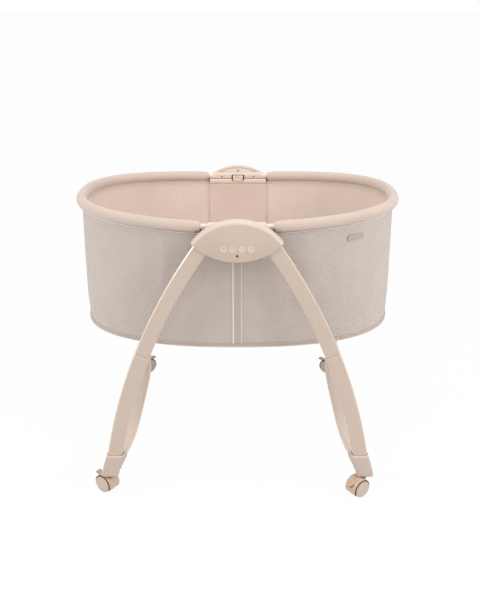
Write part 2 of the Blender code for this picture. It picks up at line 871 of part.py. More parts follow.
def make_pinion(name, side):
    step = 2 * math.pi / pinion_teeth
    centres = [-math.pi / 2 + step * index for index in range(pinion_teeth)]
    outline = gear_points(pinion_teeth, pinion_addendum_share, centres)
    outline = [(x, z + pinion_z) for x, z in outline]
    pinion = prism(name, outline, side, gear_y, gear_y + gear_width, steel)
    join(pinion, rod("shaft", (0, side * (gear_y + gear_width / 2), pinion_z), (0, side, 0),
                     gear_width / 2 + motor_gap + pinion_shaft_length, pinion_shaft_radius, screw_sides))
    return set_origin(pinion, (0, side * gear_y, pinion_z))


def make_motor(name, side):
    motor = rod(name, (0, side * motor_y, pinion_z), (0, side, 0), hub_face_inner_y - gap - motor_y,
                motor_radius, shaft_sides, steel)
    hole = bore(pinion_shaft_radius, screw_sides, motor_bore_slack)
    return cut(motor, rod("hole", (0, side * (motor_y - overrun), pinion_z), (0, side, 0),
                          overrun + pinion_shaft_length + gap, hole, screw_sides))


def make_control_board(name, side):
    far = hub_face_inner_y - gap
    near = far - board_thickness
    board = y_block(name, side, -board_half_width, board_half_width, near, far,
                    board_bottom_z, board_top_z, board_green)
    middle_z = (board_bottom_z + board_top_z) / 2
    for hand in hands.values():
        x = hand * chip_offset_x
        join(board, y_block("chip", side, x - chip_half_width, x + chip_half_width, near - chip_height,
                            near + board_thickness / 2, middle_z - chip_half_width, middle_z + chip_half_width))
    return board


def make_ir_window(name, side):
    start = hub_face_inner_y
    return rod(name, (0, side * start, ir_z), (0, side, 0), hub_outer_y + ir_proud - start,
               ir_radius, screw_sides, dark_plastic)


def make_speaker(name, side):
    start = hub_cavity_y + gap
    speaker = rod(name, (speaker_x, side * start, speaker_z), (0, side, 0), speaker_depth,
                  speaker_radius, shaft_sides, dark_plastic)
    return join(speaker, rod("magnet", (speaker_x, side * (start + speaker_depth / 2), speaker_z), (0, side, 0),
                             speaker_depth / 2 + magnet_depth, magnet_radius, shaft_sides))


def jack_bottom_z():
    rise = hub_tip_low_z - hub_bottom_z
    radius = (hub_low_half_width ** 2 + rise ** 2) / (2 * rise)
    return hub_bottom_z + radius - math.sqrt(radius ** 2 - jack_x ** 2) + jack_sink


def make_power_jack(name, side):
    bottom = jack_bottom_z()
    jack = rod(name, (jack_x, side * jack_y, bottom), (0, 0, 1), jack_length, jack_radius,
               screw_sides, dark_plastic)
    return cut(jack, rod("socket", (jack_x, side * jack_y, bottom - overrun), (0, 0, 1),
                         jack_bore_depth + overrun, jack_bore_radius, screw_sides))


def open_front_hub(cover, side):
    # the window for the remote sensor and the hole for the power socket
    cut(cover, rod("ir_hole", (0, side * (hub_face_inner_y - overrun), ir_z), (0, side, 0),
                   hub_wall + 2 * overrun, bore(ir_radius, screw_sides), screw_sides))
    return cut(cover, rod("jack_hole", (jack_x, side * jack_y, jack_bottom_z() - 2 * overrun), (0, 0, 1),
                          hub_wall + 4 * overrun, bore(jack_radius, screw_sides), screw_sides))


def bar_x(y):
    return bar_mid_x + bar_bow * (y / bar_bow_y) ** bar_bow_power


def bar_ring(y, section, hand, z=bar_z):
    slope = bar_bow_power * bar_bow / bar_bow_y * (y / bar_bow_y) ** (bar_bow_power - 1)
    along = Vector((slope, 1, 0)).normalized()
    across = along.cross(axis_z).normalized()
    ring = place_ring(section, Vector((bar_x(y), y, z)), across, axis_z)
    return [Vector((hand * point.x, point.y, point.z)) for point in ring]


def bar_section(grow):
    return rounded_rect(bar_width + 2 * grow, bar_height + 2 * grow, bar_corner + grow)


def bar_stations():
    return angles_between(-bar_end_y, bar_end_y, bar_steps)


def make_side_bar(name, hand):
    outer = [bar_ring(y, bar_section(0), hand) for y in bar_stations()]
    inner = [bar_ring(y, bar_section(-bar_wall), hand) for y in bar_stations()]
    return tube_loft(name, outer, inner, leg_paint)


def stem_x():
    return leg_x(foot_bottom_z) + stem_shift


def socket_ring(y, bottom_z, narrowing, hand, side):
    # the arm that holds the side bar: its top stays level and its underside goes down to the given height
    grow = gap + bar_socket_wall
    top_z = bar_z + bar_height / 2 + grow
    section = rounded_rect(bar_width + 2 * (grow - narrowing), top_z - bottom_z, bar_corner + grow)
    return [Vector((point.x, side * point.y, point.z))
            for point in bar_ring(y, section, hand, (top_z + bottom_z) / 2)]


def make_foot(name, hand, side):
    # the sleeve leans outwards below the end of the leg
    rings = []
    for z, outer_share, inner_share in zip((foot_bottom_z, leg_end_z, foot_top_z),
                                           foot_splay_shares, foot_shift_shares):
        outward = foot_splay * outer_share
        inward = foot_splay * inner_share
        section = rounded_rect(foot_width + outward - inward, foot_thickness, foot_corner)
        centre = Vector((leg_x(z) + (outward + inward) / 2, leg_y(z), z))
        ring = place_ring(section, centre, axis_x, axis_y)
        rings.append([Vector((hand * point.x, side * point.y, point.z)) for point in ring])
    foot = solid_loft(name, rings, shell_plastic)
    arm_z = foot_bottom_z + bar_arm_rise
    bar_under_z = bar_z - bar_height / 2 - gap - bar_socket_wall
    socket = [socket_ring(bar_socket_start_y, bar_under_z, 0, hand, side),
              socket_ring(bar_arm_y, arm_z, bar_arm_inset, hand, side),
              socket_ring(bar_socket_end_y, arm_z, bar_arm_inset, hand, side)]
    join(foot, solid_loft("bar_socket", socket))
    # the bar's last length, with its clearance all round and at its end
    room = [[Vector((point.x, side * point.y, point.z)) for point in bar_ring(y, bar_section(gap), hand)]
            for y in bar_stations()[-2:]]
    along = (room[1][0] - room[0][0]).normalized()
    room[1] = [point + along * gap for point in room[1]]
    cut(foot, solid_loft("bar_room", room))
    cut(foot, leg_cutter("leg_room", leg_end_z - gap, foot_top_z + foot_bottom_z, hand, side))
    dip_z = foot_top_z - foot_dip_depth
    middle_x = hand * leg_x(foot_top_z)
    cut(foot, y_block("dip", side, middle_x - foot_dip_half_width, middle_x + foot_dip_half_width,
                      leg_y(foot_top_z), leg_y(foot_top_z) + foot_thickness, dip_z, foot_top_z + overrun))
    stem_y = side * leg_y(foot_bottom_z)
    cut(foot, rod("stem_hole", (hand * stem_x(), stem_y, foot_bottom_z - overrun), (0, 0, 1),
                  stem_bore_top_z - foot_bottom_z + overrun, bore(stem_radius, stem_sides, stem_clearance),
                  stem_sides))
    return foot


def wall_offset(share):
    # how far the wall is drawn in at a share of its height
    rows = wall_row_shares
    for (low, low_offset), (high, high_offset) in zip(rows, rows[1:]):
        if share <= high:
            return wall_draw * (low_offset + (high_offset - low_offset) * (share - low) / (high - low))
    return wall_draw * rows[-1][1]


def wall_axes(z):
    # the ends lean in towards the rim; the long sides stand upright
    share = (z - wall_bottom_z) / (wall_top_z - wall_bottom_z)
    offset = wall_offset(share)
    return wall_half_length - offset - wall_end_lean * share, wall_half_width - offset


def oval_ring(half_length, half_width, z):
    ring = []
    for index in range(wall_points):
        x, y = oval_point(half_length, half_width, 2 * math.pi * index / wall_points)
        ring.append(Vector((x, y, z)))
    return ring


def wall_heights():
    return [wall_bottom_z + share * (wall_top_z - wall_bottom_z) for share, offset in wall_row_shares]


def make_basket_wall(name):
    outer = []
    for z in wall_heights():
        outer.append(oval_ring(*wall_axes(z), z))
    for point in outer[-1]:
        point.z += rim_height(point.x) - rim_z
    inner = []
    inner_floor = wall_bottom_z + floor_fabric
    for z in [inner_floor] + [z for z in wall_heights() if z > inner_floor + wall_thickness]:
        half_length, half_width = wall_axes(z)
        inner.append(oval_ring(half_length - wall_thickness, half_width - wall_thickness, z))
    for point in inner[-1]:
        point.z += rim_height(point.x) - rim_z
    return cup_loft(name, outer[::-1], inner[::-1], mesh_fabric, 50.0)


def make_hem(name):
    sections = []
    wide_length, wide_width = wall_axes(hem_top_z)
    for index in range(wall_points):
        angle = 2 * math.pi * index / wall_points
        inner = []
        outer = []
        for height_share, bulge_share in hem_row_shares:
            z = hem_bottom_z + height_share * (hem_top_z - hem_bottom_z)
            x, y = oval_point(wide_length + gap, wide_width + gap, angle)
            inner.append(Vector((x, y, z)))
            reach = gap + hem_thickness * bulge_share
            x, y = oval_point(wide_length + reach, wide_width + reach, angle)
            outer.append(Vector((x, y, z)))
        sections.append(outer + [inner[-1], inner[0]])
    return loop_loft(name, sections, hem_fabric, 50.0)


def make_floor_board(name):
    half_length, half_width = wall_axes(floor_board_z)
    inward = wall_thickness + board_clearance
    rings = []
    for z in (floor_board_z, floor_board_z + floor_board_thickness):
        rings.append(oval_ring(half_length - inward, half_width - inward, z))
    return solid_loft(name, rings, board_wood)


def make_mattress(name):
    half_length, half_width = wall_axes(mattress_z)
    inward = wall_thickness + mattress_clearance
    rings = []
    for height_share, edge_share in mattress_row_shares:
        offset = inward + mattress_edge * edge_share
        z = mattress_z + height_share * mattress_thickness
        rings.append(oval_ring(half_length - offset, half_width - offset, z))
    return solid_loft(name, rings, mattress_fabric, 60.0)


def make_panel(name, side):
    rings = []
    for height_share, reach_share in panel_row_shares:
        z = panel_bottom_z + height_share * (panel_top_z - panel_bottom_z)
        half_length, half_width = wall_axes(z)
        outward = wall_thickness + panel_clearance + panel_top_reach * reach_share
        ring = []
        for inward, xs in ((outward, 1), (outward + panel_thickness, -1)):
            for step in range(panel_points):
                x = xs * panel_half_width * (2 * step / (panel_points - 1) - 1)
                y = oval_y(half_length - wall_thickness, half_width - wall_thickness, x)
                y -= inward - wall_thickness
                ring.append(Vector((x, side * y, z)))
        rings.append(ring)
    return solid_loft(name, rings, panel_fabric, 60.0)


def make_placket(name, side):
    rings = []
    heights = [hem_top_z + gap] + [z for z in wall_heights() if hem_top_z + gap < z < placket_top_z]
    for z in heights + [placket_top_z]:
        half_length, half_width = wall_axes(z)
        ring = []
        for reach, xs in ((gap, 1), (gap + placket_thickness, -1)):
            for step in range(3):
                x = xs * placket_half_width * (step - 1)
                ring.append(Vector((x, side * (half_width + reach), z)))
        rings.append(ring)
    return solid_loft(name, rings, hem_fabric, 60.0)


def make_caster_hood(name):
    # built about the swivel axis, with the wheel trailing along +X
    hood = rod(name, (caster_trail, -hood_half_width, axle_z), (0, 1, 0), 2 * hood_half_width,
               hood_radius, wheel_sides, hood_plastic)
    ring = circle(collar_radius, stem_sides, math.pi / stem_sides)
    neck = circle(stem_radius, stem_sides, math.pi / stem_sides)
    rings = []
    for section, z in ((ring, collar_base_z), (ring, collar_top_z), (neck, collar_top_z), (neck, stem_top_z)):
        rings.append(place_ring(section, axis_z * z, axis_x, axis_y))
    join(hood, solid_loft("stem", rings))
    well = wheel_radius + hood_wall_gap
    for hand in hands.values():
        cut(hood, rod("well", (caster_trail, hand * hood_web, axle_z), (0, hand, 0),
                      hood_half_width - hood_web + overrun, well, wheel_sides))
    cut(hood, rod("axle_hole", (caster_trail, -hood_web - overrun, axle_z), (0, 1, 0),
                  2 * (hood_web + overrun), bore(axle_radius, screw_sides), screw_sides))
    reach = hood_radius + overrun
    cut(hood, block("floor_cut", (caster_trail - reach, -reach, axle_z - reach),
                    (caster_trail + reach, reach, hood_floor)))
    return cut(hood, block("pedal_slot", (slot_start_x, -slot_half_width, slot_floor_z),
                           (caster_trail + reach, slot_half_width, axle_z + reach)))


def make_caster_wheels(name):
    # both wheels and the axle turn together; built about the axle
    profile = [(wheel_outer, wheel_radius - wheel_face_round), (wheel_outer - wheel_face_round, wheel_radius),
               (wheel_inner, wheel_radius), (wheel_inner, axle_radius)]
    stations = [(-y, radius) for y, radius in profile] + profile[::-1]
    rings = []
    for y, radius in stations:
        ring = circle(radius, wheel_sides, math.pi / wheel_sides)
        rings.append(place_ring(ring, axis_y * y, axis_z, axis_x))
    return solid_loft(name, rings, wheel_plastic)


def make_brake_pedal(name):
    # built in the caster's own frame
    rows = ((pedal_heel_x, pedal_half_width, pedal_heel_z, pedal_heel_top_z),
            (pedal_pivot_x, pedal_half_width, pedal_root_z, pedal_root_top_z),
            (pedal_neck_x, pedal_half_width, pedal_neck_z, pedal_neck_top_z),
            (pedal_toe_x, pedal_toe_half_width, pedal_toe_z, pedal_toe_top_z),
            (pedal_end_x, pedal_toe_half_width, pedal_end_z, pedal_end_top_z))
    rings = []
    for x, half_width, low, high in rows:
        corners = ((-half_width, low), (half_width, low), (half_width, high), (-half_width, high))
        rings.append([Vector((x, y, z)) for y, z in corners])
    pedal = solid_loft(name, rings, hood_plastic)
    hub_half = slot_half_width - gap
    join(pedal, rod("hub", (pedal_pivot_x, -hub_half, pedal_pivot_z), (0, 1, 0), 2 * hub_half,
                    pedal_hub_radius, screw_sides))
    pedal.data.transform(Matrix.Translation(Vector((-pedal_pivot_x, 0, -pedal_pivot_z))))
    return pedal


def add_copy(source, name, look):
    obj = bpy.data.objects.new(name, source.data.copy())
    obj.data.materials.clear()
    obj.data.materials.append(make_material(name, look))
    bpy.context.scene.collection.objects.link(obj)
    return obj


def place_casters():
    models = {"caster_hood": (make_caster_hood("model_hood"), hood_plastic, (0, 0, 0)),
              "caster_wheels": (make_caster_wheels("model_wheels"), wheel_plastic, (caster_trail, 0, axle_z)),
              "brake_pedal": (make_brake_pedal("model_pedal"), hood_plastic, (pedal_pivot_x, 0, pedal_pivot_z))}
    for corner, turn in caster_turns.items():
        side_name, hand_name = corner.split("_")
        place = Vector((hands[hand_name] * stem_x(), sides[side_name] * leg_y(foot_bottom_z), 0))
        rotation = Matrix.Rotation(math.radians(turn), 4, "Z")
        for kind, (model, look, local) in models.items():
            obj = add_copy(model, kind + "_" + corner, look)
            obj.matrix_world = Matrix.Translation(place) @ rotation @ Matrix.Translation(Vector(local))
    for model, look, local in models.values():
        bpy.data.objects.remove(model)


def hang_basket():
    # the swinging pieces hang from an empty on the swing axis
    pivot = bpy.data.objects.new("swing_pivot", None)
    bpy.context.scene.collection.objects.link(pivot)
    pivot.location = (0, 0, swing_z)
    pivot_inverse = Matrix.Translation(Vector((0, 0, -swing_z)))
    pieces = [make_rim_tube("rim_tube_" + name, hand) for name, hand in hands.items()]
    pieces += [make_rim_pad("rim_pad_" + name, hand) for name, hand in hands.items()]
    for name, side in sides.items():
        pieces.append(make_bracket("bracket_" + name, side))
        pieces.append(make_bracket_cover("bracket_cover_" + name, side))
        pieces.append(make_latch("release_latch_" + name, side))
        pieces.append(make_swing_shaft("swing_shaft_" + name, side))
        pieces.append(make_panel("centre_panel_" + name, side))
    pieces.append(make_sector("sector_gear", sides["front"]))
    pieces.append(make_placket("placket", sides["front"]))
    pieces += [make_basket_wall("basket_wall"), make_hem("hem_band")]
    pieces += [make_floor_board("floor_board"), make_mattress("mattress")]
    for piece in pieces:
        piece.parent = pivot
        piece.matrix_parent_inverse = pivot_inverse


def build_stand():
    for name, side in sides.items():
        cover = make_hub_cover(name + "_hub_cover", side)
        if name == "front":
            open_front_hub(cover, side)
        make_hub_back(name + "_hub_back", side)
        make_bearing("swing_bearing_" + name, side)
        for hand_name, hand in hands.items():
            corner = name + "_" + hand_name
            make_upper_leg("upper_leg_" + corner, hand, side)
            make_lower_leg("lower_leg_" + corner, hand, side)
            make_foot("foot_socket_" + corner, hand, side)
    for name, hand in hands.items():
        make_side_bar("side_bar_" + name, hand)
    front = sides["front"]
    make_motor("swing_motor", front)
    make_pinion("motor_pinion", front)
    make_control_board("control_board", front)
    make_ir_window("ir_window", front)
    make_speaker("speaker", front)
    make_power_jack("power_jack", front)


def clear_scene():
    for obj in list(bpy.data.objects):
        bpy.data.objects.remove(obj)


clear_scene()
build_stand()
hang_basket()
place_casters()
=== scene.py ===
import math

import bmesh
import bpy
from mathutils import Matrix, Vector, noise


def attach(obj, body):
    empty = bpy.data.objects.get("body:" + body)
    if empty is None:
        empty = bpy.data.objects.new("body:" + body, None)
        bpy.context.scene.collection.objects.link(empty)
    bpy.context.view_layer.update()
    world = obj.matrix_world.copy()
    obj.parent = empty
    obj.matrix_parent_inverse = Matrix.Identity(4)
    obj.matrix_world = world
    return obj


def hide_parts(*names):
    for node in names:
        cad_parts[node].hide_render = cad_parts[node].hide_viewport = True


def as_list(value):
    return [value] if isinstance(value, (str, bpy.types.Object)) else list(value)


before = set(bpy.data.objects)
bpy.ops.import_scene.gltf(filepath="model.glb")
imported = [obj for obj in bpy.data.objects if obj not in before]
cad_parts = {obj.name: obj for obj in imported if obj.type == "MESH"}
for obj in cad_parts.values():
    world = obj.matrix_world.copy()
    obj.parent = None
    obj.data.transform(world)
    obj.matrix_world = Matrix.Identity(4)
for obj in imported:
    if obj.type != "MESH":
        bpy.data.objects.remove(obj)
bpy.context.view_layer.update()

# ---------------------------------------------------------------- sizes, in metres, as the frame has them
swing_z = 0.737
clearance = 0.0003

hub_half_width, hub_low_half_width = 0.118, 0.1125
hub_tip_top_z, hub_tip_low_z = 0.741, 0.7335
hub_top_z, hub_bottom_z = 0.7985, 0.690
hub_inner_y, hub_outer_y = 0.3005, 0.333
hub_wall, hub_top_round, hub_low_round, hub_face_round = 0.0025, 0.0080, 0.0020, 0.0065
hub_edge_round = 0.0015
hub_back_y, hub_cavity_y = 0.302, 0.3065
hub_boss_z, hub_boss_radius = 0.7865, 0.0045
ir_z = 0.709
bearing_radius = 0.011
jack_x, jack_y, jack_radius = 0.035, 0.3185, 0.004
key_xs, key_z, key_ring_radius = (-0.0347, -0.0116, 0.0116, 0.0347), 0.7262, 0.0067

leg_arc_x, leg_arc_z, leg_arc_radius = -1.144, -0.148, 1.515
leg_width, leg_thickness, leg_corner = 0.042, 0.020, 0.0055
leg_top_z, leg_seam_z, leg_end_z = 0.735, 0.428, 0.103
leg_hub_y, leg_foot_y = 0.3168, 0.358

foot_bottom_z, foot_top_z = 0.0555, 0.129
foot_width, foot_thickness, foot_corner = 0.047, 0.028, 0.006
foot_dip_depth, foot_dip_half_width = 0.0085, 0.0190
foot_round_low, foot_round_deep, foot_screw_place = 0.0075, 0.32, (0.3352, 0.345, 0.070)
foot_splay, foot_splay_shares, foot_shift_shares, stem_shift = 0.0070, (1.2, 0.5, 0.0), (1.0, 0.0, 0.0), 0.0035
bar_z, bar_width, bar_height, bar_corner, bar_half_length = 0.092, 0.040, 0.018, 0.005, 0.330
bar_mid_x, bar_bow, bar_bow_y, bar_bow_power = 0.327, 0.0265, 0.340, 4
bar_socket_wall, bar_socket_start_y, bar_arm_y, bar_socket_end_y = 0.0025, 0.304, 0.338, 0.352
bar_arm_rise, bar_arm_inset = 0.0035, 0.0012

rim_half_length, rim_half_width, rim_z = 0.449, 0.285, 0.772
rim_rise, rim_rise_power, oval_power = 0.016, 1.2, 2.4
rim_tube_radius, rim_tube_start_x, rim_tube_straight_x = 0.008, 0.061, 0.082
pad_radius, pad_end_radius, pad_start_x, cuff_length = 0.0155, 0.0128, 0.0965, 0.013
bracket_inner_y, bracket_screw_x = 0.2735, 0.052
strip_bottom_z, latch_well_top_z = 0.752, 0.7782

wall_half_length, wall_half_width, wall_end_lean = 0.4570, 0.2838, 0.0080
wall_bottom_z, wall_top_z = 0.425, 0.7562
wall_draw, cloth_thickness = 0.0070, 0.0030
wall_row_shares = ((0.0, 1.30), (0.004, 0.98), (0.016, 0.80), (0.24, 0.22), (0.55, 0.0), (1.0, 0.04))
hem_bottom_z, hem_top_z = 0.423, 0.4345
mattress_z, mattress_top_z = 0.4396, 0.4796
panel_half_width, panel_top_reach, panel_bottom_z = 0.094, 0.0085, 0.4826
placket_half_width, placket_top_z, placket_seam_x = 0.0115, 0.748, 0.0086
badge_x, badge_z, badge_length, badge_height = 0.3165, 0.7165, 0.046, 0.015

wheel_radius, wheel_outer, wheel_inner, axle_z, caster_trail = 0.025, 0.0228, 0.0135, 0.0246922, 0.020
axle_radius, shadow_band_start, shadow_band_end = 0.003, 0.0192, 0.0204
caster_turns = {"front_left": 145.0, "front_right": 215.0, "rear_left": 45.0, "rear_right": 150.0}
sides = {"front": -1, "rear": 1}
hands = {"left": -1, "right": 1}

axis_x, axis_y, axis_z = Vector((1, 0, 0)), Vector((0, 1, 0)), Vector((0, 0, 1))
# edges sharper than this, in degrees, stay crisp
block_crease, hard_crease, cloth_crease = 30.0, 38.0, 60.0


# ---------------------------------------------------------------- shader helpers
def colour(red, green, blue):
    def linear(value):
        share = value / 255
        return share / 12.92 if share <= 0.04045 else ((share + 0.055) / 1.055) ** 2.4
    return (linear(red), linear(green), linear(blue), 1.0)


def lighter(base, share):
    return tuple(min(1.0, value * share) for value in base[:3]) + (1.0,)


def feed(tree, made, inputs):
    for name, value in inputs.items():
        if isinstance(value, bpy.types.NodeSocket):
            tree.links.new(value, made.inputs[name])
        else:
            made.inputs[name].default_value = value
    return made


def add_node(tree, kind, inputs=None, **settings):
    made = tree.nodes.new(kind)
    for name, value in settings.items():
        setattr(made, name, value)
    return feed(tree, made, inputs or {})


def use_group(tree, group, inputs):
    return add_node(tree, "ShaderNodeGroup", inputs, node_tree=group).outputs


def calc(tree, operation, first, second=0.0):
    return add_node(tree, "ShaderNodeMath", {0: first, 1: second}, operation=operation).outputs[0]


def wave(tree, kind, turns, full_turn=2 * math.pi):
    return calc(tree, kind, calc(tree, "MULTIPLY", turns, full_turn))


def ramp(tree, value, low, high, to_low=0.0, to_high=1.0):
    inputs = {"Value": value, "From Min": low, "From Max": high, "To Min": to_low, "To Max": to_high}
    return add_node(tree, "ShaderNodeMapRange", inputs, interpolation_type="SMOOTHSTEP").outputs["Result"]


def blend_colours(tree, share, first, second):
    return add_node(tree, "ShaderNodeMix", {0: share, 6: first, 7: second}, data_type="RGBA").outputs[2]


def shade_colour(tree, base, shade):
    return add_node(tree, "ShaderNodeVectorMath", {0: base, "Scale": shade}, operation="SCALE").outputs[0]


def noise_texture(tree, place, scale, detail, distortion=0.0):
    inputs = {"Vector": place, "Scale": scale, "Detail": detail, "Distortion": distortion}
    return add_node(tree, "ShaderNodeTexNoise", inputs).outputs["Fac"]


def split_place(tree, place):
    return add_node(tree, "ShaderNodeSeparateXYZ", {0: place}).outputs[:2]


def solid_place(tree):
    return add_node(tree, "ShaderNodeTexCoord").outputs["Object"]


def flat_place(tree, layer):
    return add_node(tree, "ShaderNodeUVMap", uv_map=layer).outputs["UV"]


def new_group(name, inputs, outputs):
    # Place is a vector and Colour a colour; every other socket is one number
    tree = bpy.data.node_groups.new(name, "ShaderNodeTree")
    kinds = {"Place": "NodeSocketVector", "Colour": "NodeSocketColor"}
    for direction, labels in (("INPUT", inputs), ("OUTPUT", outputs)):
        for label in labels:
            tree.interface.new_socket(label, in_out=direction, socket_type=kinds.get(label, "NodeSocketFloat"))
    return tree, tree.nodes.new("NodeGroupInput").outputs, tree.nodes.new("NodeGroupOutput")


# ---------------------------------------------------------------- effects that several finishes share
def make_patchy_colour():
    # slow light and dark patches, as dye and moulding leave them
    tree, given, result = new_group("patchy colour", ("Colour", "Place", "Patch Size", "Strength"), ("Colour",))
    patches = noise_texture(tree, given["Place"], calc(tree, "DIVIDE", 1.0, given["Patch Size"]), 3.0)
    low, high = (calc(tree, way, 1.0, given["Strength"]) for way in ("SUBTRACT", "ADD"))
    feed(tree, result, {"Colour": shade_colour(tree, given["Colour"], ramp(tree, patches, 0.3, 0.7, low, high))})
    return tree


def make_fine_grain():
    # the pebbled skin of moulded plastic or powder paint, with a slow waviness under it
    tree, given, result = new_group("fine grain", ("Place", "Grain Size"), ("Height",))
    scale = calc(tree, "DIVIDE", 1.0, given["Grain Size"])
    grain = noise_texture(tree, given["Place"], scale, 2.0)
    waves = noise_texture(tree, given["Place"], calc(tree, "MULTIPLY", scale, 0.02), 1.0)
    feed(tree, result, {"Height": calc(tree, "ADD", grain, calc(tree, "MULTIPLY", waves, 2.0))})
    return tree


def make_corner_highlight():
    # outer corners: a painted highlight, lighter where the surface is most pointed
    tree, given, result = new_group("edge polish", ("Reach",), ("Edge",))
    flat, pointed = 0.52, add_node(tree, "ShaderNodeNewGeometry").outputs["Pointiness"]
    feed(tree, result, {"Edge": ramp(tree, pointed, flat, calc(tree, "ADD", flat, given["Reach"]))})
    return tree


def make_net():
    # staggered round openings between diagonal strands
    tree, given, result = new_group("net", ("Place", "Pitch Across", "Pitch Up", "Opening"), ("Opening", "Height"))
    across, up = split_place(tree, given["Place"])
    waves = [wave(tree, "COSINE", calc(tree, "DIVIDE", length, pitch))
             for length, pitch in ((across, given["Pitch Across"]), (up, given["Pitch Up"]))]
    edge = calc(tree, "SUBTRACT", 1.0, given["Opening"])
    opening = ramp(tree, calc(tree, "MULTIPLY", *waves), edge, calc(tree, "ADD", edge, 0.35))
    feed(tree, result, {"Opening": opening, "Height": calc(tree, "SUBTRACT", 1.0, opening)})
    return tree


def make_weave():
    # crossed threads of a plain woven cloth, a little uneven
    tree, given, result = new_group("weave", ("Place", "Thread"), ("Height", "Shade"))
    waves = [wave(tree, "SINE", calc(tree, "DIVIDE", length, given["Thread"]), math.pi)
             for length in split_place(tree, given["Place"])]
    height = calc(tree, "ABSOLUTE", calc(tree, "MULTIPLY", *waves))
    slub = calc(tree, "MULTIPLY", noise_texture(tree, given["Place"], 900.0, 2.0), 0.5)
    feed(tree, result, {"Height": calc(tree, "ADD", height, slub), "Shade": ramp(tree, height, 0.0, 1.0, 0.93, 1.03)})
    return tree


def make_knit():
    # columns of small V shaped loops in a stretch sleeve
    tree, given, result = new_group("knit", ("Place", "Loop"), ("Height", "Shade"))
    rows, column = (calc(tree, "DIVIDE", length, given["Loop"]) for length in split_place(tree, given["Place"]))
    slant = calc(tree, "MULTIPLY", calc(tree, "PINGPONG", column, 0.5), 1.6)
    loops = calc(tree, "MULTIPLY", wave(tree, "SINE", calc(tree, "ADD", rows, slant)), 0.35)
    ribs = calc(tree, "MULTIPLY", wave(tree, "COSINE", column), 0.5)
    height = calc(tree, "ADD", loops, ribs)
    feed(tree, result, {"Height": height, "Shade": ramp(tree, height, -0.8, 0.8, 0.95, 1.03)})
    return tree


def make_stitching():
    # a row of dashes at one height of the cloth
    tree, given, result = new_group("stitching", ("Place", "Line", "Stitch", "Width"), ("Thread",))
    along, up = split_place(tree, given["Place"])
    off = calc(tree, "ABSOLUTE", calc(tree, "SUBTRACT", up, given["Line"]))
    near = ramp(tree, calc(tree, "DIVIDE", off, given["Width"]), 0.3, 0.6, 1.0, 0.0)
    dash = ramp(tree, calc(tree, "PINGPONG", calc(tree, "DIVIDE", along, given["Stitch"]), 0.5), 0.08, 0.16)
    feed(tree, result, {"Thread": calc(tree, "MULTIPLY", near, dash)})
    return tree


patchy_colour, fine_grain, corner_highlight = make_patchy_colour(), make_fine_grain(), make_corner_highlight()
net, weave, knit, stitching = make_net(), make_weave(), make_knit(), make_stitching()
finishes = {}


def start_finish(name, slot_name, **constants):
    material = bpy.data.materials.new(name.replace("_", " "))
    material.use_nodes = True
    tree = material.node_tree
    shader = tree.nodes["Principled BSDF"]
    feed(tree, shader, {label.replace("_", " "): value for label, value in constants.items()})
    finishes[name] = (material, slot_name)
    return tree, shader


def add_bump(tree, shader, height, distance, strength=1.0):
    bump = add_node(tree, "ShaderNodeBump", {"Height": height, "Distance": distance, "Strength": strength})
    feed(tree, shader, {"Normal": bump.outputs["Normal"]})


def patched(tree, base, size, strength):
    inputs = {"Colour": base, "Place": solid_place(tree), "Patch Size": size, "Strength": strength}
    return use_group(tree, patchy_colour, inputs)["Colour"]


def moulded_finish(name, slot_name, base, roughness, grain=0.0006, metallic=0.0, coat=0.0, gloss=0.12, coat_ior=1.5):
    # plastic and painted steel: patches, wear and grain, and a painted highlight on the corners
    wear, grain_depth = 0.04, 0.00004
    tree, shader = start_finish(name, slot_name, Roughness=roughness, Metallic=metallic, Coat_Weight=coat,
                                Coat_Roughness=gloss, Coat_IOR=coat_ior)
    # painted highlight: the base colour turns lighter on pointed corners
    edge = use_group(tree, corner_highlight, {"Reach": 0.10})["Edge"]
    worn = noise_texture(tree, solid_place(tree), 60.0, 3.0)
    feed(tree, shader, {"Base Color": blend_colours(tree, edge, patched(tree, base, 0.09, 0.012), lighter(base, 1.06)),
                        "Roughness": ramp(tree, worn, 0.3, 0.7, roughness - wear, roughness + wear)})
    height = use_group(tree, fine_grain, {"Place": solid_place(tree), "Grain Size": grain})["Height"]
    add_bump(tree, shader, height, grain_depth)


def cloth_finish(name, slot_name, base, thread, depth, sheen=0.25, group=weave, size_name="Thread"):
    # woven or knitted cloth with its dye patches
    tree, shader = start_finish(name, slot_name, Roughness=0.88, Sheen_Weight=sheen, Sheen_Roughness=0.45)
    place = flat_place(tree, "cloth")
    threads = use_group(tree, group, {"Place": place, size_name: thread})
    shaded = shade_colour(tree, patched(tree, base, 0.05, 0.015), threads["Shade"])
    feed(tree, shader, {"Base Color": shaded})
    add_bump(tree, shader, threads["Height"], depth)
    return tree, shader, place, shaded


def stitched_finish(name, slot_name, base, lines):
    # the same cloth with rows of sewing thread
    tree, shader, place, shaded = cloth_finish(name, slot_name, base, 0.0006, 0.00012)
    sewn = 0.0
    for line in lines:
        row = use_group(tree, stitching, {"Place": place, "Line": line, "Stitch": 0.0028, "Width": 0.0011})["Thread"]
        sewn = calc(tree, "MAXIMUM", row, sewn)
    feed(tree, shader, {"Base Color": blend_colours(tree, sewn, shaded, lighter(base, 1.22))})


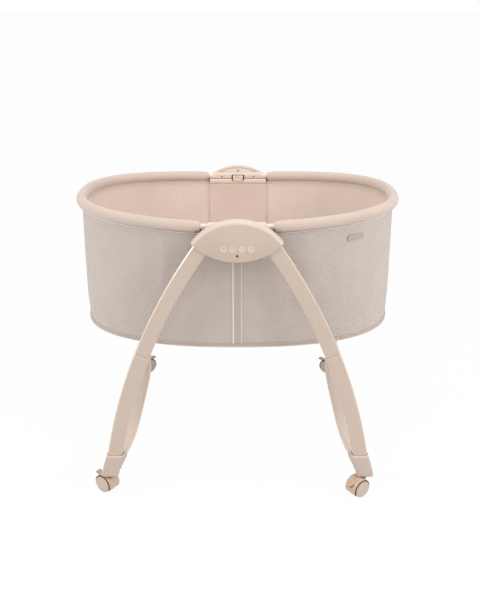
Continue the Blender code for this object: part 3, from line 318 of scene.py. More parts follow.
def net_finish(name, strand, opening_colour, pitch_across, pitch_up, edge_shade):
    # spacer net: raised strands, darker openings, and openings painted darker near the centre panels' edges and under
    # the sleeve as painted shade
    opening, edge_reach = 0.76, 0.022
    tree, shader = start_finish(name, "mesh_fabric", Roughness=0.9, Sheen_Weight=0.3, Sheen_Roughness=0.5)
    place = flat_place(tree, "cloth")
    inputs = {"Place": place, "Pitch Across": pitch_across, "Pitch Up": pitch_up, "Opening": opening}
    holes = use_group(tree, net, inputs)
    near_edge = calc(tree, "MINIMUM", *split_place(tree, flat_place(tree, "shade_distance")))
    # painted shade: near the edges the openings turn towards a dark colour
    deep = ramp(tree, near_edge, 0.0, edge_reach, edge_shade, 0.0)
    hole_colour = blend_colours(tree, deep, opening_colour, colour(88, 76, 74))
    strands = patched(tree, strand, 0.07, 0.02)
    feed(tree, shader, {"Base Color": blend_colours(tree, holes["Opening"], strands, hole_colour)})
    add_bump(tree, shader, holes["Height"], 0.0007, 0.8)


def make_board_wood():
    tree, shader = start_finish("board_wood", "board_wood", Roughness=0.62)
    place = add_node(tree, "ShaderNodeMapping", {"Vector": solid_place(tree), "Scale": (3.0, 40.0, 40.0)}).outputs[0]
    grain = noise_texture(tree, place, 4.0, 5.0, 0.6)
    mixed = blend_colours(tree, ramp(tree, grain, 0.35, 0.65), colour(176, 142, 104), colour(206, 178, 140))
    feed(tree, shader, {"Base Color": mixed})
    add_bump(tree, shader, grain, 0.0003)


# name, slot, colour, roughness and what differs from plain plastic
moulded_finishes = (
    ("hub_shell", "shell_plastic", (202, 183, 169), 0.46, {}),
    # painted light: a lighter copy of the hub plastic for surfaces that face the lamps
    ("painted_light_band", "shell_plastic", (213, 196, 184), 0.40, {}),
    ("hub_inside", "light_plastic", (229, 214, 204), 0.42, {}),
    ("bracket_shell", "light_plastic", (224, 206, 192), 0.40, {}),
    ("leg_paint", "leg_paint", (197, 177, 161), 0.42,
     {"grain": 0.0009, "metallic": 0.10, "coat": 1.0, "gloss": 0.05, "coat_ior": 1.8}),
    ("bar_paint", "leg_paint", (220, 203, 189), 0.42, {"grain": 0.0009, "metallic": 0.10, "coat": 0.4}),
    ("tube_paint", "tube_paint", (230, 212, 198), 0.36, {"grain": 0.0009, "metallic": 0.10, "coat": 0.15}),
    ("foot_shell", "shell_plastic", (198, 180, 169), 0.48, {}),
    # painted light: a lighter copy of the foot plastic for its upward lip
    ("foot_lip_painted_light", "shell_plastic", (230, 213, 200), 0.42, {}),
    ("hood_shell", "hood_plastic", (200, 177, 157), 0.48, {}),
    ("wheel_face", "wheel_plastic", (202, 184, 169), 0.50, {}),
    # painted shadow: the dark line on the tread next to the hood
    ("tread_shadow_line", "wheel_plastic", (84, 50, 34), 0.66, {"grain": 0.0004}),
    ("wheel_tread", "wheel_plastic", (178, 158, 142), 0.66, {"grain": 0.0004}),
    ("icon_print", "light_plastic", (250, 246, 240), 0.5, {}),
    ("dark_plastic", "dark_plastic", (52, 46, 44), 0.42, {}),
    ("badge_plastic", "light_plastic", (176, 167, 160), 0.42, {}),
    ("gear_plastic", "gear_plastic", (236, 232, 222), 0.5, {}),
    ("board_green", "board_green", (38, 92, 62), 0.5, {"grain": 0.002}),
    ("steel", "steel", (178, 178, 180), 0.3, {"grain": 0.0003, "metallic": 1.0}),
    ("screw_steel", "steel", (58, 50, 48), 0.38, {"grain": 0.0003, "metallic": 0.9}),
    # painted shadow: the dark line on the bracket over the strip
    ("shadow_line_dark", "dark_plastic", (120, 97, 86), 0.6, {}),
    # dark rubber for the leg stops; the same colour also paints shadow under the feet and round the wheels
    ("rubber_and_painted_shadow", "dark_plastic", (58, 40, 33), 0.6, {}),
    # painted highlight: a bright metal stripe standing in for the lamp's reflection on the left legs
    ("painted_leg_highlight", "leg_paint", (236, 226, 216), 0.30, {"grain": 0.0009, "metallic": 1.0}))

# name, slot, colour, thread and depth
cloth_finishes = (
    ("panel_cloth", "panel_fabric", (225, 205, 194), 0.0006, 0.00010),
    ("mattress_cloth", "mattress_fabric", (238, 232, 224), 0.0009, 0.00016),
    ("welt_cloth", "hem_fabric", (224, 207, 196), 0.0006, 0.00012),
    ("piping_cloth", "hem_fabric", (248, 240, 235), 0.0006, 0.00012),
    ("base_cloth", "hem_fabric", (206, 190, 180), 0.0010, 0.00016))


def make_finishes():
    for name, slot_name, base, roughness, more in moulded_finishes:
        moulded_finish(name, slot_name, colour(*base), roughness, **more)
    cloth_finish("pad_knit", "pad_fabric", colour(206, 189, 178), 0.0011, 0.00010, 0.35, knit, "Loop")
    for name, slot_name, base, thread, depth in cloth_finishes:
        cloth_finish(name, slot_name, colour(*base), thread, depth)
    stitched_finish("placket_cloth", "hem_fabric", colour(190, 178, 169), (-placket_seam_x, placket_seam_x))
    stitched_finish("hem_cloth", "hem_fabric", colour(194, 179, 169), (0.0026, 0.0090))
    net_finish("net_outside", colour(212, 201, 194), colour(114, 99, 93), 0.0056, 0.0062, 0.15)
    net_finish("net_inside", colour(238, 221, 209), colour(186, 165, 153), 0.0060, 0.0064, 0.95)
    make_board_wood()


# ---------------------------------------------------------------- mesh helpers
def clamp(value):
    return min(max(value, 0.0), 1.0)


def smooth(value):
    step = clamp(value)
    return step * step * (3 - 2 * step)


def bell(away, width):
    return math.exp(-(away / width) ** 2)


def link_object(name, data):
    made = bpy.data.objects.new(name, data)
    bpy.context.scene.collection.objects.link(made)
    return made


def put(name, bm, finish, body, replaced=(), crease=hard_crease, more_finishes=()):
    bmesh.ops.recalc_face_normals(bm, faces=bm.faces[:])
    mesh = bpy.data.meshes.new(name)
    bm.to_mesh(mesh)
    bm.free()
    for label in (finish, *more_finishes):
        mesh.materials.append(finishes[label][0])
    mesh.shade_smooth()
    mesh.set_sharp_from_angle(angle=math.radians(crease))
    piece = link_object(name, mesh)
    if replaced:
        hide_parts(*replaced)
    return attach(piece, body)


def lengths_along(points):
    total = [0.0]
    for before, after in zip(points, points[1:]):
        total.append(total[-1] + (after - before).length)
    return total


def lengths_round(ring):
    return lengths_along([*ring, ring[0]])


def uv_layer(bm, name):
    layers = bm.loops.layers.uv
    return layers.get(name) or layers.new(name)


def lay_rows(bm, rows, across, up, wrap=False, turned=False, caps=False, shade_distance=None, finish_rows=None):
    # rows of points; across and up are each point's place on the flat cloth, swapped where it lies turned
    layer = uv_layer(bm, "cloth")
    shade_distance_layer = uv_layer(bm, "shade_distance") if shade_distance else None
    grid = [[bm.verts.new(point) for point in row] for row in rows]
    count = len(rows[0])
    for i in range(len(rows) - 1):
        for j in range(count if wrap else count - 1):
            after = (j + 1) % count
            corners = ((i, j, j), (i, after, j + 1), (i + 1, after, j + 1), (i + 1, j, j))
            face = bm.faces.new([grid[row][column] for row, column, place in corners])
            for loop, (row, column, place) in zip(face.loops, corners):
                loop[layer].uv = (up[row], across[place]) if turned else (across[place], up[row])
                if shade_distance:
                    loop[shade_distance_layer].uv = shade_distance(across[place], row)
            if finish_rows:
                face.material_index = finish_rows(i, j)
    if caps:
        close_ends(bm, grid)
    return grid


def close_end(bm, ring):
    face = bm.faces.new(ring)
    layer = uv_layer(bm, "cloth")
    for loop in face.loops:
        loop[layer].uv = (loop.vert.co.x, loop.vert.co.y)


def close_ends(bm, grid):
    close_end(bm, grid[0])
    close_end(bm, grid[-1])


def join_rings(bm, first, second):
    layer = uv_layer(bm, "cloth")
    count = len(first)
    for j in range(count):
        after = (j + 1) % count
        face = bm.faces.new((first[j], first[after], second[after], second[j]))
        for loop in face.loops:
            loop[layer].uv = (loop.vert.co.x, loop.vert.co.z)


def loft(bm, rings):
    # a closed body from rings of points
    middles = [sum(ring, Vector()) / len(ring) for ring in rings]
    return lay_rows(bm, rings, lengths_round(rings[len(rings) // 2]), lengths_along(middles), wrap=True, caps=True)


def put_loft(name, rings, finish, body, replaced=(), crease=hard_crease):
    bm = bmesh.new()
    loft(bm, rings)
    return put(name, bm, finish, body, replaced, crease)


def circle(radius, count):
    turns = [2 * math.pi * k / count for k in range(count)]
    return [(radius * math.cos(turn), radius * math.sin(turn)) for turn in turns]


def rounded_rect(width, height, radius, corner_points=7):
    points = []
    for quarter in range(4):
        sign_u = 1 if quarter in (0, 3) else -1
        sign_v = 1 if quarter in (0, 1) else -1
        for step in range(corner_points):
            angle = math.pi / 2 * (quarter + step / (corner_points - 1))
            points.append((sign_u * (width / 2 - radius) + radius * math.cos(angle),
                           sign_v * (height / 2 - radius) + radius * math.sin(angle)))
    return points


def place_ring(section, centre, u_axis, v_axis):
    return [centre + u_axis * u + v_axis * v for u, v in section]


def lathe(bm, profile, centre, along, count):
    # profile of (distance along, radius); a zero radius closes to a point
    least_radius = 0.00002
    along = along.normalized()
    u_axis = along.orthogonal().normalized()
    v_axis = along.cross(u_axis)
    return loft(bm, [place_ring(circle(max(radius, least_radius), count), centre + along * out, u_axis, v_axis)
                     for out, radius in profile])


def put_lathe(name, profile, centre, along, count, finish, body):
    bm = bmesh.new()
    lathe(bm, profile, centre, along, count)
    return put(name, bm, finish, body)


def drill(piece, radius, low, high, centre, along, count):
    # a round hole with its clearance
    bm = bmesh.new()
    lathe(bm, [(low, radius + clearance), (high, radius + clearance)], centre, along, count)
    bmesh.ops.recalc_face_normals(bm, faces=bm.faces[:])
    mesh = bpy.data.meshes.new("drill")
    bm.to_mesh(mesh)
    bm.free()
    tool = link_object("drill", mesh)
    modifier = piece.modifiers.new("cut", "BOOLEAN")
    modifier.operation, modifier.solver, modifier.object = "DIFFERENCE", "EXACT", tool
    apply_modifiers(piece)
    bpy.data.objects.remove(tool)


def apply_modifiers(piece):
    result = bpy.data.meshes.new_from_object(piece.evaluated_get(bpy.context.evaluated_depsgraph_get()))
    piece.modifiers.clear()
    old = piece.data
    piece.data = result
    bpy.data.meshes.remove(old)
    result.shade_smooth()
    result.set_sharp_from_angle(angle=math.radians(hard_crease))


def soften_node(node_name, piece_name, finish, body, edge):
    # the frame's own moulding with its corners rounded
    bm = bmesh.new()
    bm.from_mesh(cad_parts[node_name].data)
    bmesh.ops.remove_doubles(bm, verts=bm.verts[:], dist=0.00001)
    bmesh.ops.dissolve_limit(bm, angle_limit=math.radians(0.4), verts=bm.verts[:], edges=bm.edges[:])
    for layer in list(bm.loops.layers.uv):
        bm.loops.layers.uv.remove(layer)
    piece = put(piece_name, bm, finish, body, [node_name])
    modifier = piece.modifiers.new("corners", "BEVEL")
    modifier.width, modifier.segments, modifier.limit_method = edge, 3, "ANGLE"
    modifier.angle_limit = math.radians(32)
    modifier.harden_normals = False
    apply_modifiers(piece)


def sweep(points, section_at):
    # rings across a line, each upright and square to it
    rings = []
    for index, point in enumerate(points):
        along = (points[min(index + 1, len(points) - 1)] - points[max(index - 1, 0)]).normalized()
        across = along.cross(axis_z).normalized()
        rings.append(place_ring(section_at(index), point, across, across.cross(along).normalized()))
    return rings


def sweep_round(points, radius, count):
    section = circle(radius, count)
    return sweep(points, lambda index: section)


def evenly(points, spacing):
    # the same line with points at equal steps
    total = lengths_along(points)
    count = max(int(round(total[-1] / spacing)), 2)
    result, index = [], 0
    for step in range(count + 1):
        want = total[-1] * step / count
        while index < len(points) - 2 and total[index + 1] < want:
            index += 1
        share = (want - total[index]) / max(total[index + 1] - total[index], 1e-9)
        result.append(points[index].lerp(points[index + 1], clamp(share)))
    return result


# ---------------------------------------------------------------- hubs
def arc_points(half_width, end_z, middle_z, rightwards):
    # one edge of the hub's lens shape
    rise = middle_z - end_z
    radius = (half_width ** 2 + rise ** 2) / (2 * abs(rise))
    centre_z = middle_z - math.copysign(radius, rise)
    reach = math.asin(half_width / radius)
    points = []
    for step in range(hub_steps + 1):
        turn = reach * (2 * step / hub_steps - 1)
        x, z = radius * math.sin(turn), centre_z + math.copysign(radius * math.cos(turn), rise)
        points.append((x if rightwards else -x, z))
    return points


hub_steps = 56
hub_lens = (arc_points(hub_low_half_width, hub_tip_low_z, hub_bottom_z, True)
            + arc_points(hub_half_width, hub_tip_top_z, hub_top_z, False))


def inset_lens(low_distance, top_distance):
    # each edge moves in by its own distance; the lower arc and both tips take the lower one
    distances = [low_distance] * (hub_steps + 1) + [top_distance] * hub_steps + [low_distance]
    result = []
    for index, (x, z) in enumerate(hub_lens):
        before = Vector((x, z)) - Vector(hub_lens[index - 1])
        after = Vector(hub_lens[(index + 1) % len(hub_lens)]) - Vector((x, z))
        first, second = Vector((-before.y, before.x)).normalized(), Vector((-after.y, after.x)).normalized()
        a, b = distances[index - 1], distances[index]
        cross = first.x * second.y - first.y * second.x
        if abs(cross) < 1e-6:
            move = first * a
        else:
            move = Vector(((a * second.y - b * first.y) / cross, (b * first.x - a * second.x) / cross))
        result.append((x + move.x, z + move.y))
    return result


def flat_ring(points, y):
    return [Vector((x, y, z)) for x, z in points]


def make_hub(name, side):
    edge_steps, face_steps = 3, 8
    rings = []
    for step in range(edge_steps + 1):
        angle = math.pi / 2 * step / edge_steps
        drop = hub_edge_round * (1 - math.sin(angle))
        y = hub_inner_y + hub_edge_round * (1 - math.cos(angle))
        rings.append(flat_ring(inset_lens(drop, drop), side * y))
    for step in range(face_steps + 1):
        angle = math.pi / 2 * step / face_steps
        inwards = 1 - math.cos(angle)
        y = hub_outer_y - hub_face_round * (1 - math.sin(angle))
        rings.append(flat_ring(inset_lens(hub_low_round * inwards, hub_top_round * inwards), side * y))
    for more, drop in ((0.0006, 0.00025), (0.0013, 0.0)):
        rings.append(flat_ring(inset_lens(hub_low_round + more, hub_top_round + more), side * (hub_outer_y - drop)))
    bm = bmesh.new()
    across = lengths_round(rings[edge_steps + 1])
    up = lengths_along([ring[len(ring) * 3 // 4] for ring in rings])

    # the top edge's rounding takes the lighter copy of the hub plastic, a painted highlight from the light above
    def band(row, column):
        return int(edge_steps <= row <= edge_steps + face_steps and column >= hub_steps)

    grid = lay_rows(bm, rings, across, up, wrap=True, finish_rows=band)
    close_end(bm, grid[-1])
    inner_rings = [flat_ring(inset_lens(hub_wall + low, hub_wall + top), side * y)
                   for low, top, y in ((0, 0, hub_inner_y), (0, 0, hub_outer_y - hub_face_round),
                                       (hub_low_round, hub_top_round / 2, hub_outer_y - hub_wall))]
    inner = lay_rows(bm, inner_rings, across, (0.0, 0.02, 0.03), wrap=True)
    close_end(bm, inner[-1])
    join_rings(bm, grid[0], inner[0])
    cover = put(name + "_hub_housing", bm, "hub_shell", "stand", [name + "_hub_cover"], 40.0, ["painted_light_band"])
    if name == "front":
        drill(cover, jack_radius, 0.0, 0.02, Vector((jack_x, side * jack_y, hub_bottom_z - 0.012)), axis_z, 32)


def make_hub_inside(name, side):
    # the plate that closes the housing: a raised arch inside a stepped edge, with a screw boss
    wall = hub_wall + clearance
    plate_rows = ((wall, hub_cavity_y), (wall, hub_back_y + 0.0011), (wall + 0.0005, hub_back_y + 0.0006))
    arch_rows = ((0.835, 0.0020), (0.835, 0.0005), (0.822, 0.0001), (0.812, 0.0))
    arch_middle_z = 0.746
    plate = [flat_ring(inset_lens(distance, distance), side * y) for distance, y in plate_rows]
    arch = [flat_ring([(x * share, arch_middle_z + (z - arch_middle_z) * share) for x, z in hub_lens],
                      side * (hub_back_y + out)) for share, out in arch_rows]
    for piece in (put_loft(name + "_hub_closing_plate", plate, "hub_inside", "stand", [name + "_hub_back"]),
                  put_loft(name + "_hub_arch", arch, "hub_inside", "stand")):
        drill(piece, bearing_radius, -0.01, 0.01, Vector((0, side * hub_back_y, swing_z)), axis_y, 48)
    inwards = Vector((0, -side, 0))
    radius = hub_boss_radius
    put_lathe(name + "_hub_screw_boss",
              [(-0.001, radius + 0.0008), (0.0004, radius + 0.0002), (0.0010, radius - 0.0005),
               (0.0012, radius - 0.0009), (0.0012, 0.0032), (0.0005, 0.0031), (0.0005, 0.0)],
              Vector((0, side * hub_back_y, hub_boss_z)), inwards, 48, "hub_inside", "stand")
    make_screw(name + "_hub_screw", Vector((0, side * (hub_back_y - 0.0005), hub_boss_z)), inwards, 0.0029, "stand")


def make_screw(name, centre, outward, radius, body):
    # a low domed head with a wide round socket
    count, depth, funnel = 24, 0.0005, 0.12
    bm = bmesh.new()
    dome = ((-0.0006, 0.7), (-0.0006, 1.0), (0.0, 1.0), (0.0003, 0.86), (0.0004, 0.62))
    grid = lathe(bm, [(out, radius * share) for out, share in dome], centre, outward, count)
    bm.faces.remove([face for face in grid[-1][0].link_faces if len(face.verts) == count][0])
    floor = [bm.verts.new(vert.co + (centre - vert.co) * funnel - outward * depth) for vert in grid[-1]]
    join_rings(bm, grid[-1], floor)
    close_end(bm, floor)
    put(name, bm, "screw_steel", body)


def stroke(bm, points, width, closed=False):
    # a thin printed line on the front face
    line = [Vector((x, 0, z)) for x, z in points]
    count = len(line)
    lift, base = Vector((0, -hub_outer_y - 0.00012, 0)), Vector((0, -hub_outer_y + 0.0002, 0))
    sections = []
    for index, point in enumerate(line):
        before = line[index - 1] if closed or index else point
        after = line[(index + 1) % count] if closed or index < count - 1 else point
        along = (after - before).normalized()
        reach = Vector((-along.z, 0, along.x)) * width / 2
        left, right = point + reach, point - reach
        sections.append([left + base, left + lift, right + lift, right + base])
    if closed:
        sections.append(sections[0])
    across = (0.0, 0.0003, width, width + 0.0003, width + 0.0006)
    up = lengths_along([line[k % count] for k in range(len(sections))])
    grid = lay_rows(bm, sections, across, up, wrap=True, caps=not closed)
    if closed:
        bmesh.ops.remove_doubles(bm, verts=grid[0] + grid[-1], dist=1e-7)


def arc_line(x, z, radius, start=0, end=360, steps=24):
    turns = [math.radians(start + (end - start) * k / steps) for k in range(steps + 1)]
    return [(x + radius * math.cos(turn), z + radius * math.sin(turn)) for turn in turns]


def ring_stroke(bm, x, z, radius, steps, width):
    stroke(bm, arc_line(x, z, radius, steps=steps)[:-1], width, True)


def make_key_icons():
    # four touch places: swing width, melody, timer and power, as plain generic signs
    rings, signs = bmesh.new(), bmesh.new()
    for x in key_xs:
        ring_stroke(rings, x, key_z, key_ring_radius, 48, 0.0007)
    sway, melody, timer, power = key_xs
    line = 0.0006
    stroke(signs, arc_line(sway, key_z + 0.0045, 0.0062, 215, 325), line)
    for hand in (-1, 1):
        tip = (sway + hand * 0.0051, key_z + 0.0010)
        stroke(signs, [(tip[0] - hand * 0.0016, tip[1] + 0.0002), tip, (tip[0] + hand * 0.0002, tip[1] - 0.0017)], line)
    ring_stroke(signs, sway, key_z - 0.0022, 0.0008, 12, line)
    ring_stroke(signs, melody - 0.0013, key_z - 0.0024, 0.0012, 16, line)
    stroke(signs, [(melody, key_z - 0.0022), (melody, key_z + 0.0034), (melody + 0.0022, key_z + 0.0022),
                   (melody + 0.0024, key_z + 0.0006)], line)
    ring_stroke(signs, timer, key_z, 0.0036, 32, line)
    stroke(signs, [(timer, key_z + 0.0024), (timer, key_z), (timer + 0.0017, key_z - 0.0010)], line)
    stroke(signs, arc_line(power, key_z - 0.0003, 0.0034, 125, 415), line)
    stroke(signs, [(power, key_z + 0.0042), (power, key_z + 0.0006)], line)
    put("key_rings", rings, "icon_print", "stand")
    put("key_signs", signs, "icon_print", "stand")
    bezel = [(-0.0004, 0.0021), (-0.0004, 0.0032), (0.0001, 0.0032), (0.0003, 0.0028), (0.0003, 0.0021)]
    put_lathe("ir_window_bezel", bezel, Vector((0, -hub_outer_y, ir_z)), -axis_y, 32, "dark_plastic", "stand")


# ---------------------------------------------------------------- legs, feet and side bars
def leg_angle(z):
    return math.asin((z - leg_arc_z) / leg_arc_radius)


def leg_x(z):
    return leg_arc_x + leg_arc_radius * math.cos(leg_angle(z))


def leg_y(z):
    return leg_hub_y + (leg_foot_y - leg_hub_y) * (swing_z - z) / (swing_z - foot_bottom_z)


def leg_ring(angle, section, hand, side):
    z = leg_arc_z + leg_arc_radius * math.sin(angle)
    centre = Vector((leg_arc_x + leg_arc_radius * math.cos(angle), leg_y(z), z))
    lean = (leg_foot_y - leg_hub_y) / (swing_z - foot_bottom_z)
    outward = Vector((math.cos(angle), 0, math.sin(angle)))
    along = Vector((-math.sin(angle), -lean * math.cos(angle), math.cos(angle))).normalized()
    across = along.cross(outward).normalized()
    outward = across.cross(along).normalized()
    return [Vector((hand * p.x, side * p.y, p.z)) for p in place_ring(section, centre, outward, across)]


def leg_section(shrink):
    return rounded_rect(leg_width - 2 * shrink, leg_thickness - 2 * shrink, leg_corner - shrink)


def make_leg(corner, hand, side):
    # both halves are one curve; each ends in a small rounded lip, so the joint shows as a dark line
    lip, lip_turn, lip_drop, steps = 0.0009, 0.3, 0.35, 30
    seam = leg_angle(leg_seam_z)
    # the outer front corner carries a painted highlight: a bright stripe on the left legs, the lighter hub plastic on
    # the right
    outer_corner = (2, 3)
    for part, start, end, lips in (("upper", leg_angle(leg_top_z), seam, (0, 1)),
                                   ("lower", seam - clearance / leg_arc_radius, leg_angle(leg_end_z), (1, 0))):
        rows = [(start + (end - start) * k / steps, 0.0) for k in range(steps + 1)]
        turn = math.copysign(lip / leg_arc_radius, end - start)
        if lips[0]:
            rows[0:1] = [(start, lip), (start + turn * lip_turn, lip * lip_drop), (start + turn, 0.0)]
        if lips[1]:
            rows[-1:] = [(end - turn, 0.0), (end - turn * lip_turn, lip * lip_drop), (end, lip)]
        bm = bmesh.new()
        rings = [leg_ring(angle, leg_section(shrink), hand, side) for angle, shrink in rows]
        up = lengths_along([sum(ring, Vector()) / len(ring) for ring in rings])
        lay_rows(bm, rings, lengths_round(rings[4]), up, wrap=True, caps=True,
                 finish_rows=lambda row, column: int(column in outer_corner))
        put(f"leg_{part}_{corner}", bm, "leg_paint", "stand", [f"{part}_leg_{corner}"], 50.0,
            ["painted_leg_highlight" if hand < 0 else "painted_light_band"])


def bar_ring(y, section, hand, z=bar_z):
    slope = bar_bow_power * bar_bow / bar_bow_y * (y / bar_bow_y) ** (bar_bow_power - 1)
    across = Vector((slope, 1, 0)).normalized().cross(axis_z).normalized()
    x = bar_mid_x + bar_bow * (y / bar_bow_y) ** bar_bow_power
    return [Vector((hand * p.x, p.y, p.z)) for p in place_ring(section, Vector((x, y, z)), across, axis_z)]


def make_side_bar(name, hand):
    section, steps = rounded_rect(bar_width, bar_height, bar_corner), 48
    rings = [bar_ring(-bar_half_length + 2 * bar_half_length * k / steps, section, hand) for k in range(steps + 1)]
    put_loft("floor_bar_" + name, rings, "bar_paint", "stand", ["side_bar_" + name], 50.0)


def foot_lean(z, shares):
    # how far the sleeve stands out at a height: the shares belong to its foot, the leg's end and its top
    heights = (foot_bottom_z, leg_end_z, foot_top_z)
    for k in (0, 1):
        if z <= heights[k + 1]:
            step = max(z - heights[k], 0.0) / (heights[k + 1] - heights[k])
            return foot_splay * (shares[k] + (shares[k + 1] - shares[k]) * step)
    return foot_splay * shares[2]


def arm_section(height, narrowing, reach=0.0, shrink=0.0):
    # the arm round the side bar; the lower half of its inner side moves towards the sleeve
    grow = clearance + bar_socket_wall - shrink
    section = rounded_rect(bar_width + 2 * (grow - narrowing), height - 2 * shrink, bar_corner + grow)
    return [(u + reach * max(-v, 0.0) / (height / 2) if u < 0 else u, v) for u, v in section]


def foot_rings(hand, side, rows):
    # the sleeve over the leg's end, with its dipped front lip
    side_dip, front_dip, front_depth = 0.0035, foot_dip_depth - 0.0055, 0.008
    dip_end, dip_blend, dip_start_z = foot_dip_half_width + 0.0032, 0.0052, foot_bottom_z + 0.03
    lip_deep, corner_loss, most_loss = 1.55, 0.6, 0.006
    rings = []
    for z, shrink in rows:
        outward, inward = foot_lean(z, foot_splay_shares), foot_lean(z, foot_shift_shares)
        deep = shrink * (foot_round_deep if z < leg_end_z else lip_deep)
        section = rounded_rect(foot_width + outward - inward - 2 * shrink, foot_thickness - 2 * deep,
                               foot_corner - min(shrink, most_loss) * corner_loss, 9)
        share = clamp((z - dip_start_z) / (foot_top_z - dip_start_z))
        ring = []
        for u, v in section:
            dip = side_dip
            if v > 0:
                dip += front_dip * smooth((dip_end - abs(u)) / dip_blend) * min(1.0, v / front_depth)
            x = leg_x(z) + (outward + inward) / 2 + u
            ring.append(Vector((hand * x, side * (leg_y(z) + v), z - dip * share)))
        rings.append(ring)
    return rings


def arm_rings(hand, side):
    # the arm that holds the side bar, from its mouth to the sleeve
    steps, mouth_depth, edge, lean = 10, 0.002, 0.0009, 0.008
    top_z = bar_z + bar_height / 2 + clearance + bar_socket_wall
    low_z, arm_z = bar_z - bar_height / 2 - clearance - bar_socket_wall, foot_bottom_z + bar_arm_rise
    start_y = bar_socket_start_y
    mouth = rounded_rect(bar_width + 0.0010, bar_height + 0.0010, bar_corner)
    arm = [(start_y + mouth_depth, mouth, bar_z), (start_y, arm_section(top_z - low_z, 0.0, shrink=edge), bar_z),
           (start_y + edge, arm_section(top_z - low_z, 0.0), bar_z)]
    for k in range(1, steps + 2):
        step = min(k / steps, 1.0)
        y = start_y + edge + (bar_arm_y - start_y - edge) * step if k <= steps else bar_socket_end_y
        under = low_z + (arm_z - low_z) * step
        arm.append((y, arm_section(top_z - under, bar_arm_inset * step, lean * step), (top_z + under) / 2))
    return [[Vector((p.x, side * p.y, p.z)) for p in bar_ring(y, section, hand, z)] for y, section, z in arm]


def make_foot(corner, hand, side):
    low, lip_z, steps = foot_round_low, foot_top_z - 0.0030, 8
    rows = [(foot_bottom_z + rise, low * share)
            for rise, share in ((0.0, 1.0), (0.0004, 0.62), (0.0013, 0.32), (0.0028, 0.1), (low, 0.0))]
    rows += [(foot_bottom_z + low + (lip_z - foot_bottom_z - low) * k / steps, 0.0) for k in range(1, steps + 1)]
    lip_row = len(rows) - 1
    rows += [(foot_top_z - 0.0002, 0.0003), (foot_top_z, 0.0007), (foot_top_z, 0.0014), (foot_top_z - 0.0003, 0.0018),
             (foot_top_z - 0.009, 0.0019)]
    rings = foot_rings(hand, side, rows)
    bm = bmesh.new()
    # the lip rows take the lighter copy of the foot plastic, a painted highlight where the lip faces up
    lay_rows(bm, rings, lengths_round(rings[6]), [row[0] for row in rows], wrap=True, caps=True,
             finish_rows=lambda row, column: int(row >= lip_row))
    loft(bm, arm_rings(hand, side))
    put("foot_" + corner, bm, "foot_shell", "stand", ["foot_socket_" + corner], hard_crease, ["foot_lip_painted_light"])
    stop_z = foot_top_z - 0.0024
    half_bead = ((0.0016, 0.0), (0.0014, 0.0010), (0.0008, 0.0016))
    bead = [(-out, radius) for out, radius in half_bead] + [(0.0, 0.0018)] + list(half_bead[::-1])
    for turn, place in ((-1, "inner"), (1, "outer")):
        x, y = leg_x(stop_z) + turn * (leg_width / 2 + 0.0008), leg_y(stop_z) + 0.0055
        centre = Vector((hand * x, side * y, stop_z))
        put_lathe(f"leg_stop_{corner}_{place}", bead, centre, axis_z, 16, "rubber_and_painted_shadow", "stand")
    # painted shadow: a thin dark disc under the sleeve, standing in for the shade between the foot and the caster hood
    put_lathe("stem_shadow_disc_" + corner, [(0.0, 0.0062), (0.0, 0.0130), (0.0017, 0.0130), (0.0017, 0.0062)],
              Vector((hand * stem_x, side * stem_y, foot_bottom_z - 0.0018)), axis_z, 40, "rubber_and_painted_shadow", "stand")
    x, y, z = foot_screw_place
    make_screw("foot_screw_" + corner, Vector((hand * x, side * y, z)), Vector((-hand, 0, 0)), 0.0026, "stand")


# ---------------------------------------------------------------- casters
stem_x, stem_y = leg_x(foot_bottom_z) + stem_shift, leg_y(foot_bottom_z)


